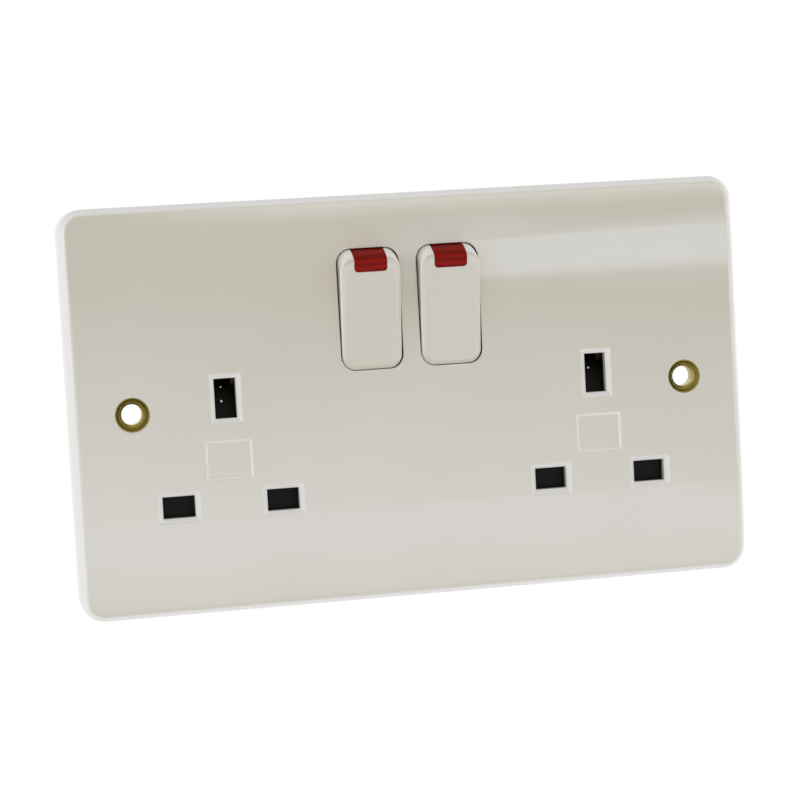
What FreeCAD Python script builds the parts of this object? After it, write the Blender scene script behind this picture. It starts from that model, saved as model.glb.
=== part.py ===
import FreeCAD, Part
import math
import os

# A switched twin wall socket for flat three-pin plugs, with neon indicators in its rockers.
# Millimetres. X is to the right seen from the front, Y goes into the wall and Z is up.
# The origin is the middle of the faceplate on the wall plane, y = 0.

V = FreeCAD.Vector
BOTH_SIDES = (("left", -1), ("right", 1))

# Faceplate
PLATE_WIDTH = 146.5
PLATE_HEIGHT = 86.5
PLATE_DEPTH = 9.5
PLATE_CORNER = 5.0
PLATE_ROUND = 2.0
PLATE_WALL = 2.6
ROLL_RUN = 20.0
ROLL_DROP = 0.8

# Outlets: the pins of the plug and the slots that they go into
OUTLET_X = 40.5
EARTH_Z = 2.1
PIN_PITCH = 22.23
PIN_DROP = 22.23
PIN_LENGTH = 17.7
EARTH_PIN_LENGTH = 22.7
PIN_GAP = 4.2
PIN_TIP_GAP = 0.6
EARTH_SLOT_WIDTH = 4.6
EARTH_SLOT_HEIGHT = 8.45
PIN_SLOT_WIDTH = 6.85
PIN_SLOT_HEIGHT = 4.6
SLOT_CHAMFER = 1.0
PANEL_WIDTH = 9.0
PANEL_HEIGHT = 7.3
PANEL_DEPTH = 0.45
PANEL_DROP = 0.85

# Fixing holes with their brass bushes
FIXING_X = 60.3
BUSH_BORE_RADIUS = 2.2
BUSH_WALL = 0.55
BUSH_FLANGE_RADIUS = 3.6
BUSH_FLANGE_DEPTH = 0.6
BUSH_LIP = 0.15
BUSH_SINK = 1.4
BUSH_NECK = 3.7
BUSH_WEB = 0.6
BUSH_SKIRT_RADIUS = 4.3
BUSH_COLLAR_RADIUS = 5.6
BOSS_RADIUS = 6.3

# Rockers
SWITCH_WEB = 3.7
SWITCH_Z = 19.0
ROCKER_WIDTH = 13.0
ROCKER_END_RADIUS = 13.4
ROCKER_FACE = 6.5
ROCKER_BACK = 3.2
ROCKER_WALL = 1.4
ROCKER_CORNER = 2.8
ROCKER_ROUND = 1.2
ROCKER_SWING = 18.0
ROCKER_GAP = 0.3
PIVOT_DEPTH = 4.5
TRUNNION_RADIUS = 1.3
TRUNNION_LENGTH = 1.45
STEM_RADIUS = 2.7
STEM_BORE_RADIUS = 1.95
STEM_BORE_START = 1.6
STEM_END = 7.0
LENS_WIDTH = 7.1
LENS_REACH = 2.63
LENS_DEPTH = 0.5
LENS_CORNER = 0.8
RIDGE_COUNT = 3
RIDGE_START = 0.55
RIDGE_PITCH = 0.9
RIDGE_RADIUS = 0.3
PLUNGER_RADIUS = 1.8
PLUNGER_TIP_RADIUS = 1.5
PLUNGER_BACK = 5.0
PLUNGER_SHOULDER = 0.6
PLUNGER_GAP = 0.1

# See-saw contacts behind the rockers
CONTACT_SWING = 12.0
CONTACT_WIDTH = 5.0
CONTACT_HALF = 7.0
CONTACT_THICK = 1.5
CONTACT_CORNER = 1.2
BLADE_RADIUS = 0.6
RIVET_OFFSET = 5.6
MOVING_RIVET_RADIUS = 1.5
MOVING_RIVET_HEIGHT = 0.4
FIXED_RIVET_RADIUS = 1.6
FULCRUM_HEIGHT = 1.8
GROOVE_GAP = 0.1
CONTACT_GAP = 0.12
RIVET_SHANK_RADIUS = 0.8
RIVET_EDGE = 0.2

# Shutters over the line and neutral slots
SHUTTER_THICK = 2.0
SHUTTER_OVERLAP = 0.9
SHUTTER_BELOW = 3.0
SHUTTER_ABOVE = 3.2
SHUTTER_TRAVEL = 6.4
SHUTTER_END_GAP = 1.1
SHUTTER_TOE_GAP = 0.1
STEM_HALF = 4.0
STEM_BRIDGE = 1.6
RAMP_DEPTH = 3.4
RAMP_RISE = 6.7
RAMP_TIP = 0.4
SPRING_RADIUS = 1.3
SPRING_WIRE = 0.4
SPRING_LENGTH = 9.6
WINDOW_HALF = 2.3
PEG_HALF = 1.6
PEG_HEIGHT = 1.6
GUIDE_RISE = 1.6
GUIDE_LENGTH = 6.0

# Sheet brass and the terminals
SHEET = 0.8
SHEET_BEND = 0.9
BAR_WIDTH = 5.0
LEG_WIDTH = 4.0
BAR_BEND = 2.5
LEG_END = 3.0
LINE_RUN_GAP = 1.55
LINE_CROSS_RISE = 7.1
LINE_CORNER_OFFSET = 3.6
NEUTRAL_WIDTH = 3.6
NEUTRAL_BEND = 2.3
NEUTRAL_RISE = 6.0
NEUTRAL_SLANT_INSET = 8.0
NEUTRAL_RUN_GAP = 1.4
JOGGLE = 2.4
TONGUE_WIDTH = 2.6
TONGUE_END = 1.5
CLIP_WIDTH = 6.0
CLIP_FLARE = 0.8
CLIP_LEAD = 1.0
CLIP_MOUTH = 1.8
LEVEL_GAP = 1.6
STRAP_WIDTH = 4.8
STRAP_DROP = 1.5
STRAP_GAP = 0.8
STRAP_RING_RADIUS = 6.3
TAIL_WIDTH = 6.0
TAIL_DROP = 2.2
TAB_INSET = 1.5
EYE_WIDTH = 7.4
EYE_CORNER = 1.5
EARTH_PAD_HALF = 6.6
EARTH_PAD_RIM = 1.8
EARTH_PAD_CORNER = 1.0
EARTH_WINDOW_HALF = 4.6
EARTH_LEAF_HALF = 3.5
TERMINAL_PITCH = 15.0
TERMINAL_WIDTH = 9.0
TERMINAL_LENGTH = 9.0
TERMINAL_DEPTH = 8.4
TERMINAL_EDGE = 0.4
WIRE_BORE_RADIUS = 2.2
WIRE_BORE_DEPTH = 3.4
SCREW_RADIUS = 2.0
SCREW_HEAD_RADIUS = 3.2
SCREW_HEAD = 2.2
SCREW_BACKED_OUT = 2.8
SCREW_SLOT = 0.8

# Rear housing and the screws that hold it
HOUSING_WALL = 1.8
HOUSING_FLOOR = 2.0
HOUSING_ROUND = 2.5
HOUSING_EDGE = 0.8
HOUSING_TOP_REACH = 3.5
HOUSING_BOSS_GAP = 1.95
HIP_GAP = 0.7
STRAP_NOTCH = 4.0
WELL_WALL = 1.5
WELL_TOP_WALL = 1.0
WELL_DEPTH = 8.0
BAY_DROP = 10.6
BAY_HEADROOM = 2.5
BAY_RIB_BITE = 0.1
FIN_DROP = 3.0
FIN_INSET = 0.6
RIB_OFFSET = 4.6
RIB_THICK = 1.2
RIB_BELOW = 5.0
RIB_ABOVE = 4.0
POST_WIDTH = 3.0
PIVOT_POST_DROP = 3.0
MIDDLE_POST_Z = 0.0
LINE_POST_Z = 2.0
NEUTRAL_POST_INSET = 5.5
NEUTRAL_POST_SPACE = 7.4
SADDLE_HALF = 2.5
SADDLE_REACH = 2.2
TRUNNION_POST_HALF = 0.6
TRUNNION_POST_REACH = 1.2
EAR_RADIUS = 3.5
EAR_THICK = 2.5
EAR_REACH = 4.0
EAR_TOP_DROP = 7.0
EAR_LOW_RISE = 7.4
EAR_BOSS = 2.0
HOUSING_SCREW_RADIUS = 1.3
HOUSING_SCREW_HEAD_RADIUS = 2.6
HOUSING_SCREW_HEAD = 1.6
HOUSING_SCREW_BITE = 3.2

# Neon lamps in glass, with their resistors and leads
LAMP_RADIUS = 2.5
LAMP_LENGTH = 10.0
LAMP_SHOULDER = 0.9
LAMP_BEHIND = 8.5
LAMP_ABOVE = 10.45
RESISTOR_RADIUS = 1.2
RESISTOR_LENGTH = 6.5
RESISTOR_EDGE = 0.4
RESISTOR_SPACE = 2.85
RESISTOR_RISE = 0.7
LEAD_RADIUS = 0.25
LEAD_BEND = 0.8
LEAD_RUN = 1.5
LEAD_MEET = 0.75
LEAD_SIDES = 6
LEAD_ANGLES = [math.pi * (2 * step + 1) / LEAD_SIDES for step in range(LEAD_SIDES)]

# Clearances
SLIDE_GAP = 0.3
FIT_GAP = 0.05
LOOSE_GAP = 0.2

# How far cuts run past a face, added features are rooted, and edges are matched
OVERRUN = 1.0
ROOT = 0.5
NEAR = 1e-3
LEAST_CORNER = 0.5

# Levels along Y, from the face to the back
FACE = -PLATE_DEPTH
INNER = FACE + PLATE_WALL
SHUTTER_FRONT = INNER + SLIDE_GAP
SHUTTER_BACK = SHUTTER_FRONT + SHUTTER_THICK
RIB_FRONT = SHUTTER_BACK + SLIDE_GAP
RAMP_BACK = SHUTTER_FRONT + RAMP_DEPTH
STRAP_FRONT = RAMP_BACK + STRAP_GAP
STRAP_BACK = STRAP_FRONT + SHEET
LEVEL_B = FACE + PIN_LENGTH + PIN_TIP_GAP + SHEET
LEVEL_C = LEVEL_B + SHEET + LEVEL_GAP
FLOOR = FACE + EARTH_PIN_LENGTH + PIN_TIP_GAP + SHEET
BACK = FLOOR + HOUSING_FLOOR
PIVOT_Y = FACE + PIVOT_DEPTH
FULCRUM_Y = LEVEL_B - FULCRUM_HEIGHT
PLUNGER_TIP = FULCRUM_Y - CONTACT_THICK - PLUNGER_GAP - PIVOT_Y
LAMP_Y = PIVOT_Y + LAMP_BEHIND
WELL_BACK = FACE + WELL_DEPTH
BAY_FLOOR = LEVEL_B - TERMINAL_DEPTH
LUG_FRONT = INNER + EAR_BOSS
LUG_BACK = LUG_FRONT + EAR_THICK
RESISTOR_Y = LEVEL_B - RESISTOR_RISE

# Places in the X and Z plane
PIN_Z = EARTH_Z - PIN_DROP
PANEL_Z = (EARTH_Z - EARTH_SLOT_HEIGHT / 2 + PIN_Z + PIN_SLOT_HEIGHT / 2) / 2 - PANEL_DROP
SLEEVE_RADIUS = BUSH_BORE_RADIUS + BUSH_WALL
SKIRT_RADIUS = BUSH_SKIRT_RADIUS + BUSH_WALL
NECK_BACK = FACE + BUSH_NECK
SKIRT_FRONT = NECK_BACK - BUSH_WEB
LINE_LEFT = -OUTLET_X + PIN_PITCH / 2
NEUTRAL_LEFT = -OUTLET_X - PIN_PITCH / 2
LINE_RIGHT = OUTLET_X + PIN_PITCH / 2
NEUTRAL_RIGHT = OUTLET_X - PIN_PITCH / 2
APERTURE_HALF = ROCKER_WIDTH / 2 + ROCKER_GAP
SWITCH_X = SWITCH_WEB / 2 + APERTURE_HALF
APERTURE_RADIUS = ROCKER_END_RADIUS + ROCKER_GAP
WELL_HALF = SWITCH_X + APERTURE_HALF + WELL_WALL
WELL_TOP = SWITCH_Z + APERTURE_RADIUS + WELL_TOP_WALL
WELL_BOTTOM = SWITCH_Z - APERTURE_RADIUS - WELL_WALL
HOUSING_TOP = SWITCH_Z + APERTURE_RADIUS + LOOSE_GAP + HOUSING_WALL
HOUSING_BOTTOM = PIN_Z - SHUTTER_BELOW - SHUTTER_TRAVEL - SHUTTER_END_GAP - HOUSING_WALL
HOUSING_TOP_HALF = OUTLET_X + HOUSING_TOP_REACH
HOUSING_MID_HALF = FIXING_X - BOSS_RADIUS - HOUSING_BOSS_GAP
HOUSING_LOW_HALF = LINE_RIGHT + RIB_OFFSET + RIB_THICK / 2 + HOUSING_WALL
HOUSING_SHOULDER = EARTH_Z + EARTH_PAD_HALF + 2 * LOOSE_GAP + HOUSING_WALL
HOUSING_HIP = -BOSS_RADIUS - HIP_GAP
EARS = (
    (HOUSING_TOP_HALF + EAR_REACH, HOUSING_TOP - EAR_TOP_DROP),
    (HOUSING_LOW_HALF + EAR_REACH, HOUSING_BOTTOM + EAR_LOW_RISE),
)
LENS_LOW = math.sqrt(ROCKER_END_RADIUS ** 2 - ROCKER_FACE ** 2) - LENS_REACH
CONTACT_Z = SWITCH_Z + RIVET_OFFSET
LINE_RUN_Z = SWITCH_Z - CONTACT_HALF - LINE_RUN_GAP
STRAP_Z = EARTH_Z - STRAP_DROP
NEUTRAL_RUN_Z = EARTH_Z - EARTH_LEAF_HALF - NEUTRAL_RUN_GAP - NEUTRAL_WIDTH / 2
BAY_TOP = EARTH_Z - BAY_DROP
BAY_HALF = NEUTRAL_RIGHT - RIB_OFFSET - RIB_THICK / 2 - HOUSING_WALL + BAY_RIB_BITE
TERMINAL_TOP = BAY_TOP - BAY_HEADROOM
TERMINAL_LOW = TERMINAL_TOP - TERMINAL_LENGTH
TERMINAL_Z = TERMINAL_TOP - TERMINAL_LENGTH / 2
TAB_END = TERMINAL_LOW + TAB_INSET
LAMP_Z = SWITCH_Z + LAMP_ABOVE
CONTACT_TILT = math.radians(CONTACT_SWING / 2)
MOVING_RIVET_REACH = MOVING_RIVET_HEIGHT * math.cos(CONTACT_TILT) + RIVET_OFFSET * math.sin(CONTACT_TILT)
FIXED_RIVET_HEIGHT = FULCRUM_HEIGHT - MOVING_RIVET_REACH - CONTACT_GAP
EARTH_LEAF_LOW = EARTH_Z - EARTH_LEAF_HALF
EARTH_LEAF_HIGH = EARTH_Z + EARTH_LEAF_HALF
LINE_CORNER_X = NEUTRAL_RIGHT + LINE_CORNER_OFFSET
SHUTTER_TOE = EARTH_Z - EARTH_SLOT_HEIGHT / 2 - SHUTTER_TOE_GAP
WINDOW_TOP = SHUTTER_TOE - STEM_BRIDGE
PEG_TOP = WINDOW_TOP - SPRING_LENGTH
GUIDE_LOW = PEG_TOP + GUIDE_RISE
GUIDE_HIGH = GUIDE_LOW + GUIDE_LENGTH
RESISTOR_START = SWITCH_X + LAMP_LENGTH / 2 + RESISTOR_SPACE


# Shapes used throughout

def box(x0, x1, y0, y1, z0, z1):
    return Part.makeBox(x1 - x0, y1 - y0, z1 - z0, V(x0, y0, z0))


def rod_x(y, z, radius, x0, x1):
    return Part.makeCylinder(radius, x1 - x0, V(x0, y, z), V(1, 0, 0))


def rod_y(x, z, radius, y0, y1):
    return Part.makeCylinder(radius, y1 - y0, V(x, y0, z), V(0, 1, 0))


def rod_z(x, y, radius, z0, z1):
    return Part.makeCylinder(radius, z1 - z0, V(x, y, z0), V(0, 0, 1))


def fuse(shapes):
    return shapes[0].multiFuse(shapes[1:]).removeSplitter()


def rounded_wire(points, radii):
    """Closed wire through corner points, each corner rounded to its own radius."""
    corners = []
    for i, corner in enumerate(points):
        to_last = (points[i - 1] - corner).normalize()
        to_next = (points[(i + 1) % len(points)] - corner).normalize()
        if radii[i] <= 0:
            corners.append((corner, None, corner))
            continue
        half = to_last.getAngle(to_next) / 2
        reach = radii[i] / math.tan(half)
        middle = (to_last + to_next).normalize()
        crown = corner + middle * (radii[i] / math.sin(half) - radii[i])
        corners.append((corner + to_last * reach, crown, corner + to_next * reach))
    edges = []
    for i, (first, crown, last) in enumerate(corners):
        if crown is not None:
            edges.append(Part.Arc(first, crown, last).toShape())
        following = corners[(i + 1) % len(corners)][0]
        if last.distanceToPoint(following) > 1e-6:
            edges.append(Part.LineSegment(last, following).toShape())
    return Part.Wire(edges)


def rectangle(x, z, width, height, y, radius=0.0):
    """Rectangle in a plane of constant y, about (x, z)."""
    half_x = width / 2
    half_z = height / 2
    points = [
        V(x - half_x, y, z - half_z),
        V(x + half_x, y, z - half_z),
        V(x + half_x, y, z + half_z),
        V(x - half_x, y, z + half_z),
    ]
    return rounded_wire(points, [radius] * 4)


def rounded_block(x, z, width, height, y0, y1, radius):
    return Part.Face(rectangle(x, z, width, height, y0, radius)).extrude(V(0, y1 - y0, 0))


def prism_x(points, x0, x1):
    """Prism along X whose section is a polygon of (y, z) points."""
    corners = [V(x0, y, z) for y, z in points]
    return Part.Face(Part.makePolygon(corners + corners[:1])).extrude(V(x1 - x0, 0, 0))


def strip_outline(route, width, bend):
    """Outline points and corner radii of a strip of one width along a flat route."""
    runs = [V(b[0] - a[0], b[1] - a[1], 0).normalize() for a, b in zip(route, route[1:])]
    left = []
    right = []
    for i, (a, b) in enumerate(route):
        before = runs[max(i - 1, 0)]
        after = runs[min(i, len(runs) - 1)]
        across = V(-before.y - after.y, before.x + after.x, 0)
        mitre = across * (width / 2 / (1 + before.dot(after)))
        turn = before.cross(after).z
        inner = bend - width / 2
        outer = bend + width / 2
        left_radius = 0.0 if turn == 0 else (inner if turn > 0 else outer)
        right_radius = 0.0 if turn == 0 else (outer if turn > 0 else inner)
        left.append((a + mitre.x, b + mitre.y, left_radius))
        right.append((a - mitre.x, b - mitre.y, right_radius))
    return left + right[::-1]


def flat_strip(route, width, bend, y):
    """Blanked strip of sheet lying at one level, along a route of (x, z) points."""
    outline = strip_outline(route, width, bend)
    wire = rounded_wire([V(a, y, b) for a, b, _ in outline], [radius for _, _, radius in outline])
    return Part.Face(wire).extrude(V(0, SHEET, 0))


def bent_strip(route, x, width):
    """Folded strip of sheet of one width about x, along a route of (y, z) points mid-sheet."""
    outline = strip_outline(route, SHEET, SHEET_BEND)
    start = x - width / 2
    wire = rounded_wire([V(start, a, b) for a, b, _ in outline], [radius for _, _, radius in outline])
    return Part.Face(wire).extrude(V(width, 0, 0))


def wire_lead(points):
    """Thin lead along points, starting along X, six-sided, with a tangent arc at each bend."""
    edges = []
    start = points[0]
    for before, corner, after in zip(points, points[1:], points[2:]):
        to_last = (before - corner).normalize()
        to_next = (after - corner).normalize()
        half = to_last.getAngle(to_next) / 2
        reach = LEAD_BEND / math.tan(half)
        middle = (to_last + to_next).normalize()
        crown = corner + middle * (LEAD_BEND / math.sin(half) - LEAD_BEND)
        edges.append(Part.LineSegment(start, corner + to_last * reach).toShape())
        edges.append(Part.Arc(corner + to_last * reach, crown, corner + to_next * reach).toShape())
        start = corner + to_next * reach
    edges.append(Part.LineSegment(start, points[-1]).toShape())
    ring = [V(0, LEAD_RADIUS * math.cos(a), LEAD_RADIUS * math.sin(a)) for a in LEAD_ANGLES]
    section = Part.makePolygon([points[0] + offset for offset in ring + ring[:1]])
    return Part.Wire(edges).makePipeShell([section], True, False)


# Faceplate

def plate_body():
    """Shallow tray, flat in the middle and rolled back a little towards its long edges."""
    half_height = PLATE_HEIGHT / 2
    flat = half_height - ROLL_RUN
    roll_radius = (ROLL_RUN ** 2 + ROLL_DROP ** 2) / (2 * ROLL_DROP)
    quarter = math.asin(ROLL_RUN / roll_radius) / 2
    crown_z = flat + roll_radius * math.sin(quarter)
    crown_y = FACE + roll_radius * (1 - math.cos(quarter))
    edge_y = FACE + ROLL_DROP
    x0 = -PLATE_WIDTH / 2
    edges = [
        Part.LineSegment(V(x0, 0, -half_height), V(x0, edge_y, -half_height)),
        Part.Arc(V(x0, edge_y, -half_height), V(x0, crown_y, -crown_z), V(x0, FACE, -flat)),
        Part.LineSegment(V(x0, FACE, -flat), V(x0, FACE, flat)),
        Part.Arc(V(x0, FACE, flat), V(x0, crown_y, crown_z), V(x0, edge_y, half_height)),
        Part.LineSegment(V(x0, edge_y, half_height), V(x0, 0, half_height)),
        Part.LineSegment(V(x0, 0, half_height), V(x0, 0, -half_height)),
    ]
    section = Part.Wire([edge.toShape() for edge in edges])
    slab = Part.Face(section).extrude(V(PLATE_WIDTH, 0, 0))
    tray = slab.common(rounded_block(0, 0, PLATE_WIDTH, PLATE_HEIGHT, FACE - OVERRUN, 0, PLATE_CORNER))
    rim = [edge for edge in tray.Edges if on_plate_side(edge) and edge.BoundBox.YMax < FACE / 2]
    tray = tray.makeFillet(PLATE_ROUND, rim)
    hollow_corner = max(PLATE_CORNER - PLATE_WALL, LEAST_CORNER)
    hollow = rounded_block(
        0, 0, PLATE_WIDTH - 2 * PLATE_WALL, PLATE_HEIGHT - 2 * PLATE_WALL, INNER, OVERRUN, hollow_corner)
    return tray.cut(hollow)


def on_plate_side(edge):
    """True for an edge that lies in the plate's side wall, with its middle on the plan outline."""
    middle = edge.valueAt((edge.FirstParameter + edge.LastParameter) / 2)
    past_x = abs(middle.x) - (PLATE_WIDTH / 2 - PLATE_CORNER)
    past_z = abs(middle.z) - (PLATE_HEIGHT / 2 - PLATE_CORNER)
    outside = math.hypot(max(past_x, 0), max(past_z, 0))
    distance = outside + min(max(past_x, past_z), 0) - PLATE_CORNER
    across = edge.BoundBox.YLength < PLATE_DEPTH / 2
    return abs(distance) < NEAR and across


def funnel(x, z, width, height, depth):
    """A rectangular recess in the face with sides at 45 degrees, of a given width and height at its floor."""
    mouth = 2 * (depth + OVERRUN)
    outer = rectangle(x, z, width + mouth, height + mouth, FACE - OVERRUN)
    inner = rectangle(x, z, width, height, FACE + depth)
    return Part.makeLoft([outer, inner], True)


def slot_tool(x, z, width, height):
    """A pin slot through the plate, with a chamfered mouth."""
    half_x = width / 2
    half_z = height / 2
    slot = box(x - half_x, x + half_x, FACE, INNER + OVERRUN, z - half_z, z + half_z)
    return slot.fuse(funnel(x, z, width, height, SLOT_CHAMFER))


def aperture_tool(x):
    """The rocker's opening: arc ends about the pivot and rounded corners."""
    half = APERTURE_HALF
    drum = rod_x(PIVOT_Y, SWITCH_Z, APERTURE_RADIUS, x - half, x + half)
    reach = APERTURE_RADIUS + OVERRUN
    depth = box(x - half, x + half, FACE - OVERRUN, WELL_BACK + OVERRUN, SWITCH_Z - reach, SWITCH_Z + reach)
    tool = drum.common(depth)
    return tool.makeFillet(ROCKER_CORNER + ROCKER_GAP, round_ends(tool, APERTURE_RADIUS))


def round_ends(shape, radius):
    """The arc edges at both ends of a rocker-shaped solid."""
    arcs = [edge for edge in shape.Edges if isinstance(edge.Curve, Part.Circle)]
    return [edge for edge in arcs if abs(edge.Curve.Radius - radius) < NEAR]


def trunnion_slots(side):
    """A blind bearing in the middle web and a slot, open to the back, in the outer wall."""
    bearing = TRUNNION_RADIUS + FIT_GAP
    inner_face = SWITCH_X - APERTURE_HALF
    outer_face = SWITCH_X + APERTURE_HALF
    deep = TRUNNION_LENGTH - ROCKER_GAP + SLIDE_GAP
    blind = rod_x(PIVOT_Y, SWITCH_Z, bearing, *sorted((side * inner_face, side * (inner_face - deep))))
    x0, x1 = sorted((side * (outer_face - OVERRUN), side * (WELL_HALF + OVERRUN)))
    seat = rod_x(PIVOT_Y, SWITCH_Z, bearing, x0, x1)
    way = box(x0, x1, PIVOT_Y, WELL_BACK + OVERRUN, SWITCH_Z - bearing, SWITCH_Z + bearing)
    return [blind, seat, way]


def make_front_plate():
    solids = [plate_body()]
    solids.append(box(-WELL_HALF, WELL_HALF, INNER - ROOT, WELL_BACK, WELL_BOTTOM, WELL_TOP))
    cuts = []
    for _, side in BOTH_SIDES:
        outlet = side * OUTLET_X
        solids.append(rod_y(side * FIXING_X, 0, BOSS_RADIUS, INNER - ROOT, STRAP_FRONT))
        fixing = side * FIXING_X
        cuts.append(rod_y(fixing, 0, SLEEVE_RADIUS + FIT_GAP, FACE - OVERRUN, STRAP_FRONT + OVERRUN))
        cuts.append(rod_y(fixing, 0, SKIRT_RADIUS + FIT_GAP, SKIRT_FRONT - FIT_GAP, STRAP_FRONT + OVERRUN))
        cuts.append(rod_y(
            fixing, 0, BUSH_FLANGE_RADIUS + FIT_GAP, FACE - OVERRUN, FACE + BUSH_FLANGE_DEPTH))
        for x, z in EARS:
            solids.append(rod_y(side * x, z, EAR_RADIUS, INNER - ROOT, LUG_FRONT))
            cuts.append(rod_y(
                side * x, z, HOUSING_SCREW_RADIUS + FIT_GAP,
                LUG_FRONT - HOUSING_SCREW_BITE - LOOSE_GAP, LUG_FRONT + OVERRUN))
        for rib_side in (-1, 1):
            near = outlet + rib_side * (STEM_HALF + SLIDE_GAP)
            far = near + rib_side * RIB_THICK
            x0, x1 = sorted((near, far))
            solids.append(box(x0, x1, INNER - ROOT, SHUTTER_BACK, GUIDE_LOW, GUIDE_HIGH))
        solids.append(box(
            outlet - PEG_HALF, outlet + PEG_HALF, INNER - ROOT, SHUTTER_BACK, PEG_TOP - PEG_HEIGHT, PEG_TOP))
        cuts.append(slot_tool(outlet, EARTH_Z, EARTH_SLOT_WIDTH, EARTH_SLOT_HEIGHT))
        for pin_side in (-1, 1):
            pin_x = outlet + pin_side * PIN_PITCH / 2
            cuts.append(slot_tool(pin_x, PIN_Z, PIN_SLOT_WIDTH, PIN_SLOT_HEIGHT))
        cuts.append(funnel(outlet, PANEL_Z, PANEL_WIDTH, PANEL_HEIGHT, PANEL_DEPTH))
        cuts.append(aperture_tool(side * SWITCH_X))
        cuts.extend(trunnion_slots(side))
    return fuse(solids).cut(cuts)


# Fixing bushes

def make_fixing_bush(side):
    """Turned brass eyelet: countersunk flange, short neck, wide skirt and a collar that clamps the strap."""
    profile = [
        (BUSH_SKIRT_RADIUS, 0),
        (BUSH_SKIRT_RADIUS, NECK_BACK),
        (BUSH_BORE_RADIUS, NECK_BACK),
        (BUSH_BORE_RADIUS, FACE + BUSH_SINK),
        (BUSH_FLANGE_RADIUS - BUSH_LIP, FACE),
        (BUSH_FLANGE_RADIUS, FACE),
        (BUSH_FLANGE_RADIUS, FACE + BUSH_FLANGE_DEPTH),
        (SLEEVE_RADIUS, FACE + BUSH_FLANGE_DEPTH),
        (SLEEVE_RADIUS, SKIRT_FRONT),
        (SKIRT_RADIUS, SKIRT_FRONT),
        (SKIRT_RADIUS, STRAP_BACK),
        (BUSH_COLLAR_RADIUS, STRAP_BACK),
        (BUSH_COLLAR_RADIUS, 0),
    ]
    x = side * FIXING_X
    corners = [V(x + r, y, 0) for r, y in profile]
    section = Part.Face(Part.makePolygon(corners + corners[:1]))
    return section.revolve(V(x, 0, 0), V(0, 1, 0), 360)


# Rear housing

def housing_outline():
    half = [
        (HOUSING_TOP_HALF, HOUSING_TOP, 1),
        (HOUSING_TOP_HALF, HOUSING_SHOULDER, -1),
        (HOUSING_MID_HALF, HOUSING_SHOULDER, 1),
        (HOUSING_MID_HALF, HOUSING_HIP, -1),
        (HOUSING_LOW_HALF, HOUSING_HIP, 1),
        (HOUSING_LOW_HALF, HOUSING_BOTTOM, 1),
    ]
    return half + [(-x, z, bulge) for x, z, bulge in half[::-1]]


def housing_prism(inset, y0, y1):
    """The housing's plan outline, drawn in by an inset, as a prism between two levels."""
    outline = housing_outline()
    wire = rounded_wire(
        [V(x, y0, z) for x, z, _ in outline],
        [HOUSING_ROUND if bulge > 0 else HOUSING_ROUND - HOUSING_WALL for _, _, bulge in outline])
    face = Part.Face(wire)
    if inset > 0:
        face = face.makeOffset2D(-inset)
    return face.extrude(V(0, y1 - y0, 0))


def housing_shell():
    shell = housing_prism(0, SHUTTER_FRONT, BACK)
    rim = [edge for edge in shell.Edges if edge.BoundBox.YMin > BACK - NEAR]
    shell = shell.makeChamfer(HOUSING_EDGE, rim)
    return shell.cut(housing_prism(HOUSING_WALL, SHUTTER_FRONT - OVERRUN, FLOOR))


def bay_walls():
    """Floor, sides and top of the terminal bay, a pocket open to the back and to the bottom."""
    wall = HOUSING_WALL
    half = BAY_HALF + wall
    return box(-half, half, BAY_FLOOR - wall, BACK, HOUSING_BOTTOM, BAY_TOP + wall)


def bay_pocket():
    return box(-BAY_HALF, BAY_HALF, BAY_FLOOR, BACK + OVERRUN, HOUSING_BOTTOM - OVERRUN, BAY_TOP)


def post(x, z, top):
    half = POST_WIDTH / 2
    return box(x - half, x + half, top, FLOOR + ROOT, z - half, z + half)


def support_posts():
    """Posts under the brass, on the housing's floor."""
    posts = []
    on_level_b = [
        (LINE_LEFT, PIN_Z), (LINE_RIGHT, PIN_Z), (LINE_LEFT, MIDDLE_POST_Z), (LINE_LEFT, CONTACT_Z),
        (-SWITCH_X, CONTACT_Z), (SWITCH_X, CONTACT_Z), (LINE_CORNER_X, CONTACT_Z),
        (LINE_CORNER_X, MIDDLE_POST_Z), (SWITCH_X, SWITCH_Z - PIVOT_POST_DROP),
        (-SWITCH_X, SWITCH_Z - PIVOT_POST_DROP), (TERMINAL_PITCH, LINE_POST_Z),
    ]
    for x, z in on_level_b:
        posts.append(post(x, z, LEVEL_B + SHEET))
    on_level_c = [
        (NEUTRAL_LEFT, PIN_Z), (NEUTRAL_RIGHT, PIN_Z), (-OUTLET_X + NEUTRAL_POST_INSET, NEUTRAL_RUN_Z),
        (NEUTRAL_RIGHT - NEUTRAL_POST_SPACE, NEUTRAL_RUN_Z),
    ]
    for x, z in on_level_c:
        posts.append(post(x, z, LEVEL_C + SHEET))
    return posts


def pin_ribs():
    """Walls beside each line and neutral clip, which also carry the shutters."""
    ribs = []
    for x in (NEUTRAL_LEFT, LINE_LEFT, NEUTRAL_RIGHT, LINE_RIGHT):
        for side in (-1, 1):
            middle = x + side * RIB_OFFSET
            x0 = middle - RIB_THICK / 2
            x1 = middle + RIB_THICK / 2
            ribs.append(box(x0, x1, RIB_FRONT, FLOOR + ROOT, PIN_Z - RIB_BELOW, PIN_Z + RIB_ABOVE))
    return ribs


def lamp_cradles():
    """Saddles that hold the lamps by the middle of the glass."""
    saddles = []
    for _, side in BOTH_SIDES:
        x = side * SWITCH_X
        x0 = x - SADDLE_HALF
        x1 = x + SADDLE_HALF
        block = box(x0, x1, LAMP_Y, FLOOR + ROOT, LAMP_Z - SADDLE_REACH, LAMP_Z + SADDLE_REACH)
        glass = rod_x(LAMP_Y, LAMP_Z, LAMP_RADIUS + FIT_GAP, x0 - OVERRUN, x1 + OVERRUN)
        saddles.append(block.cut(glass))
    return saddles


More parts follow.
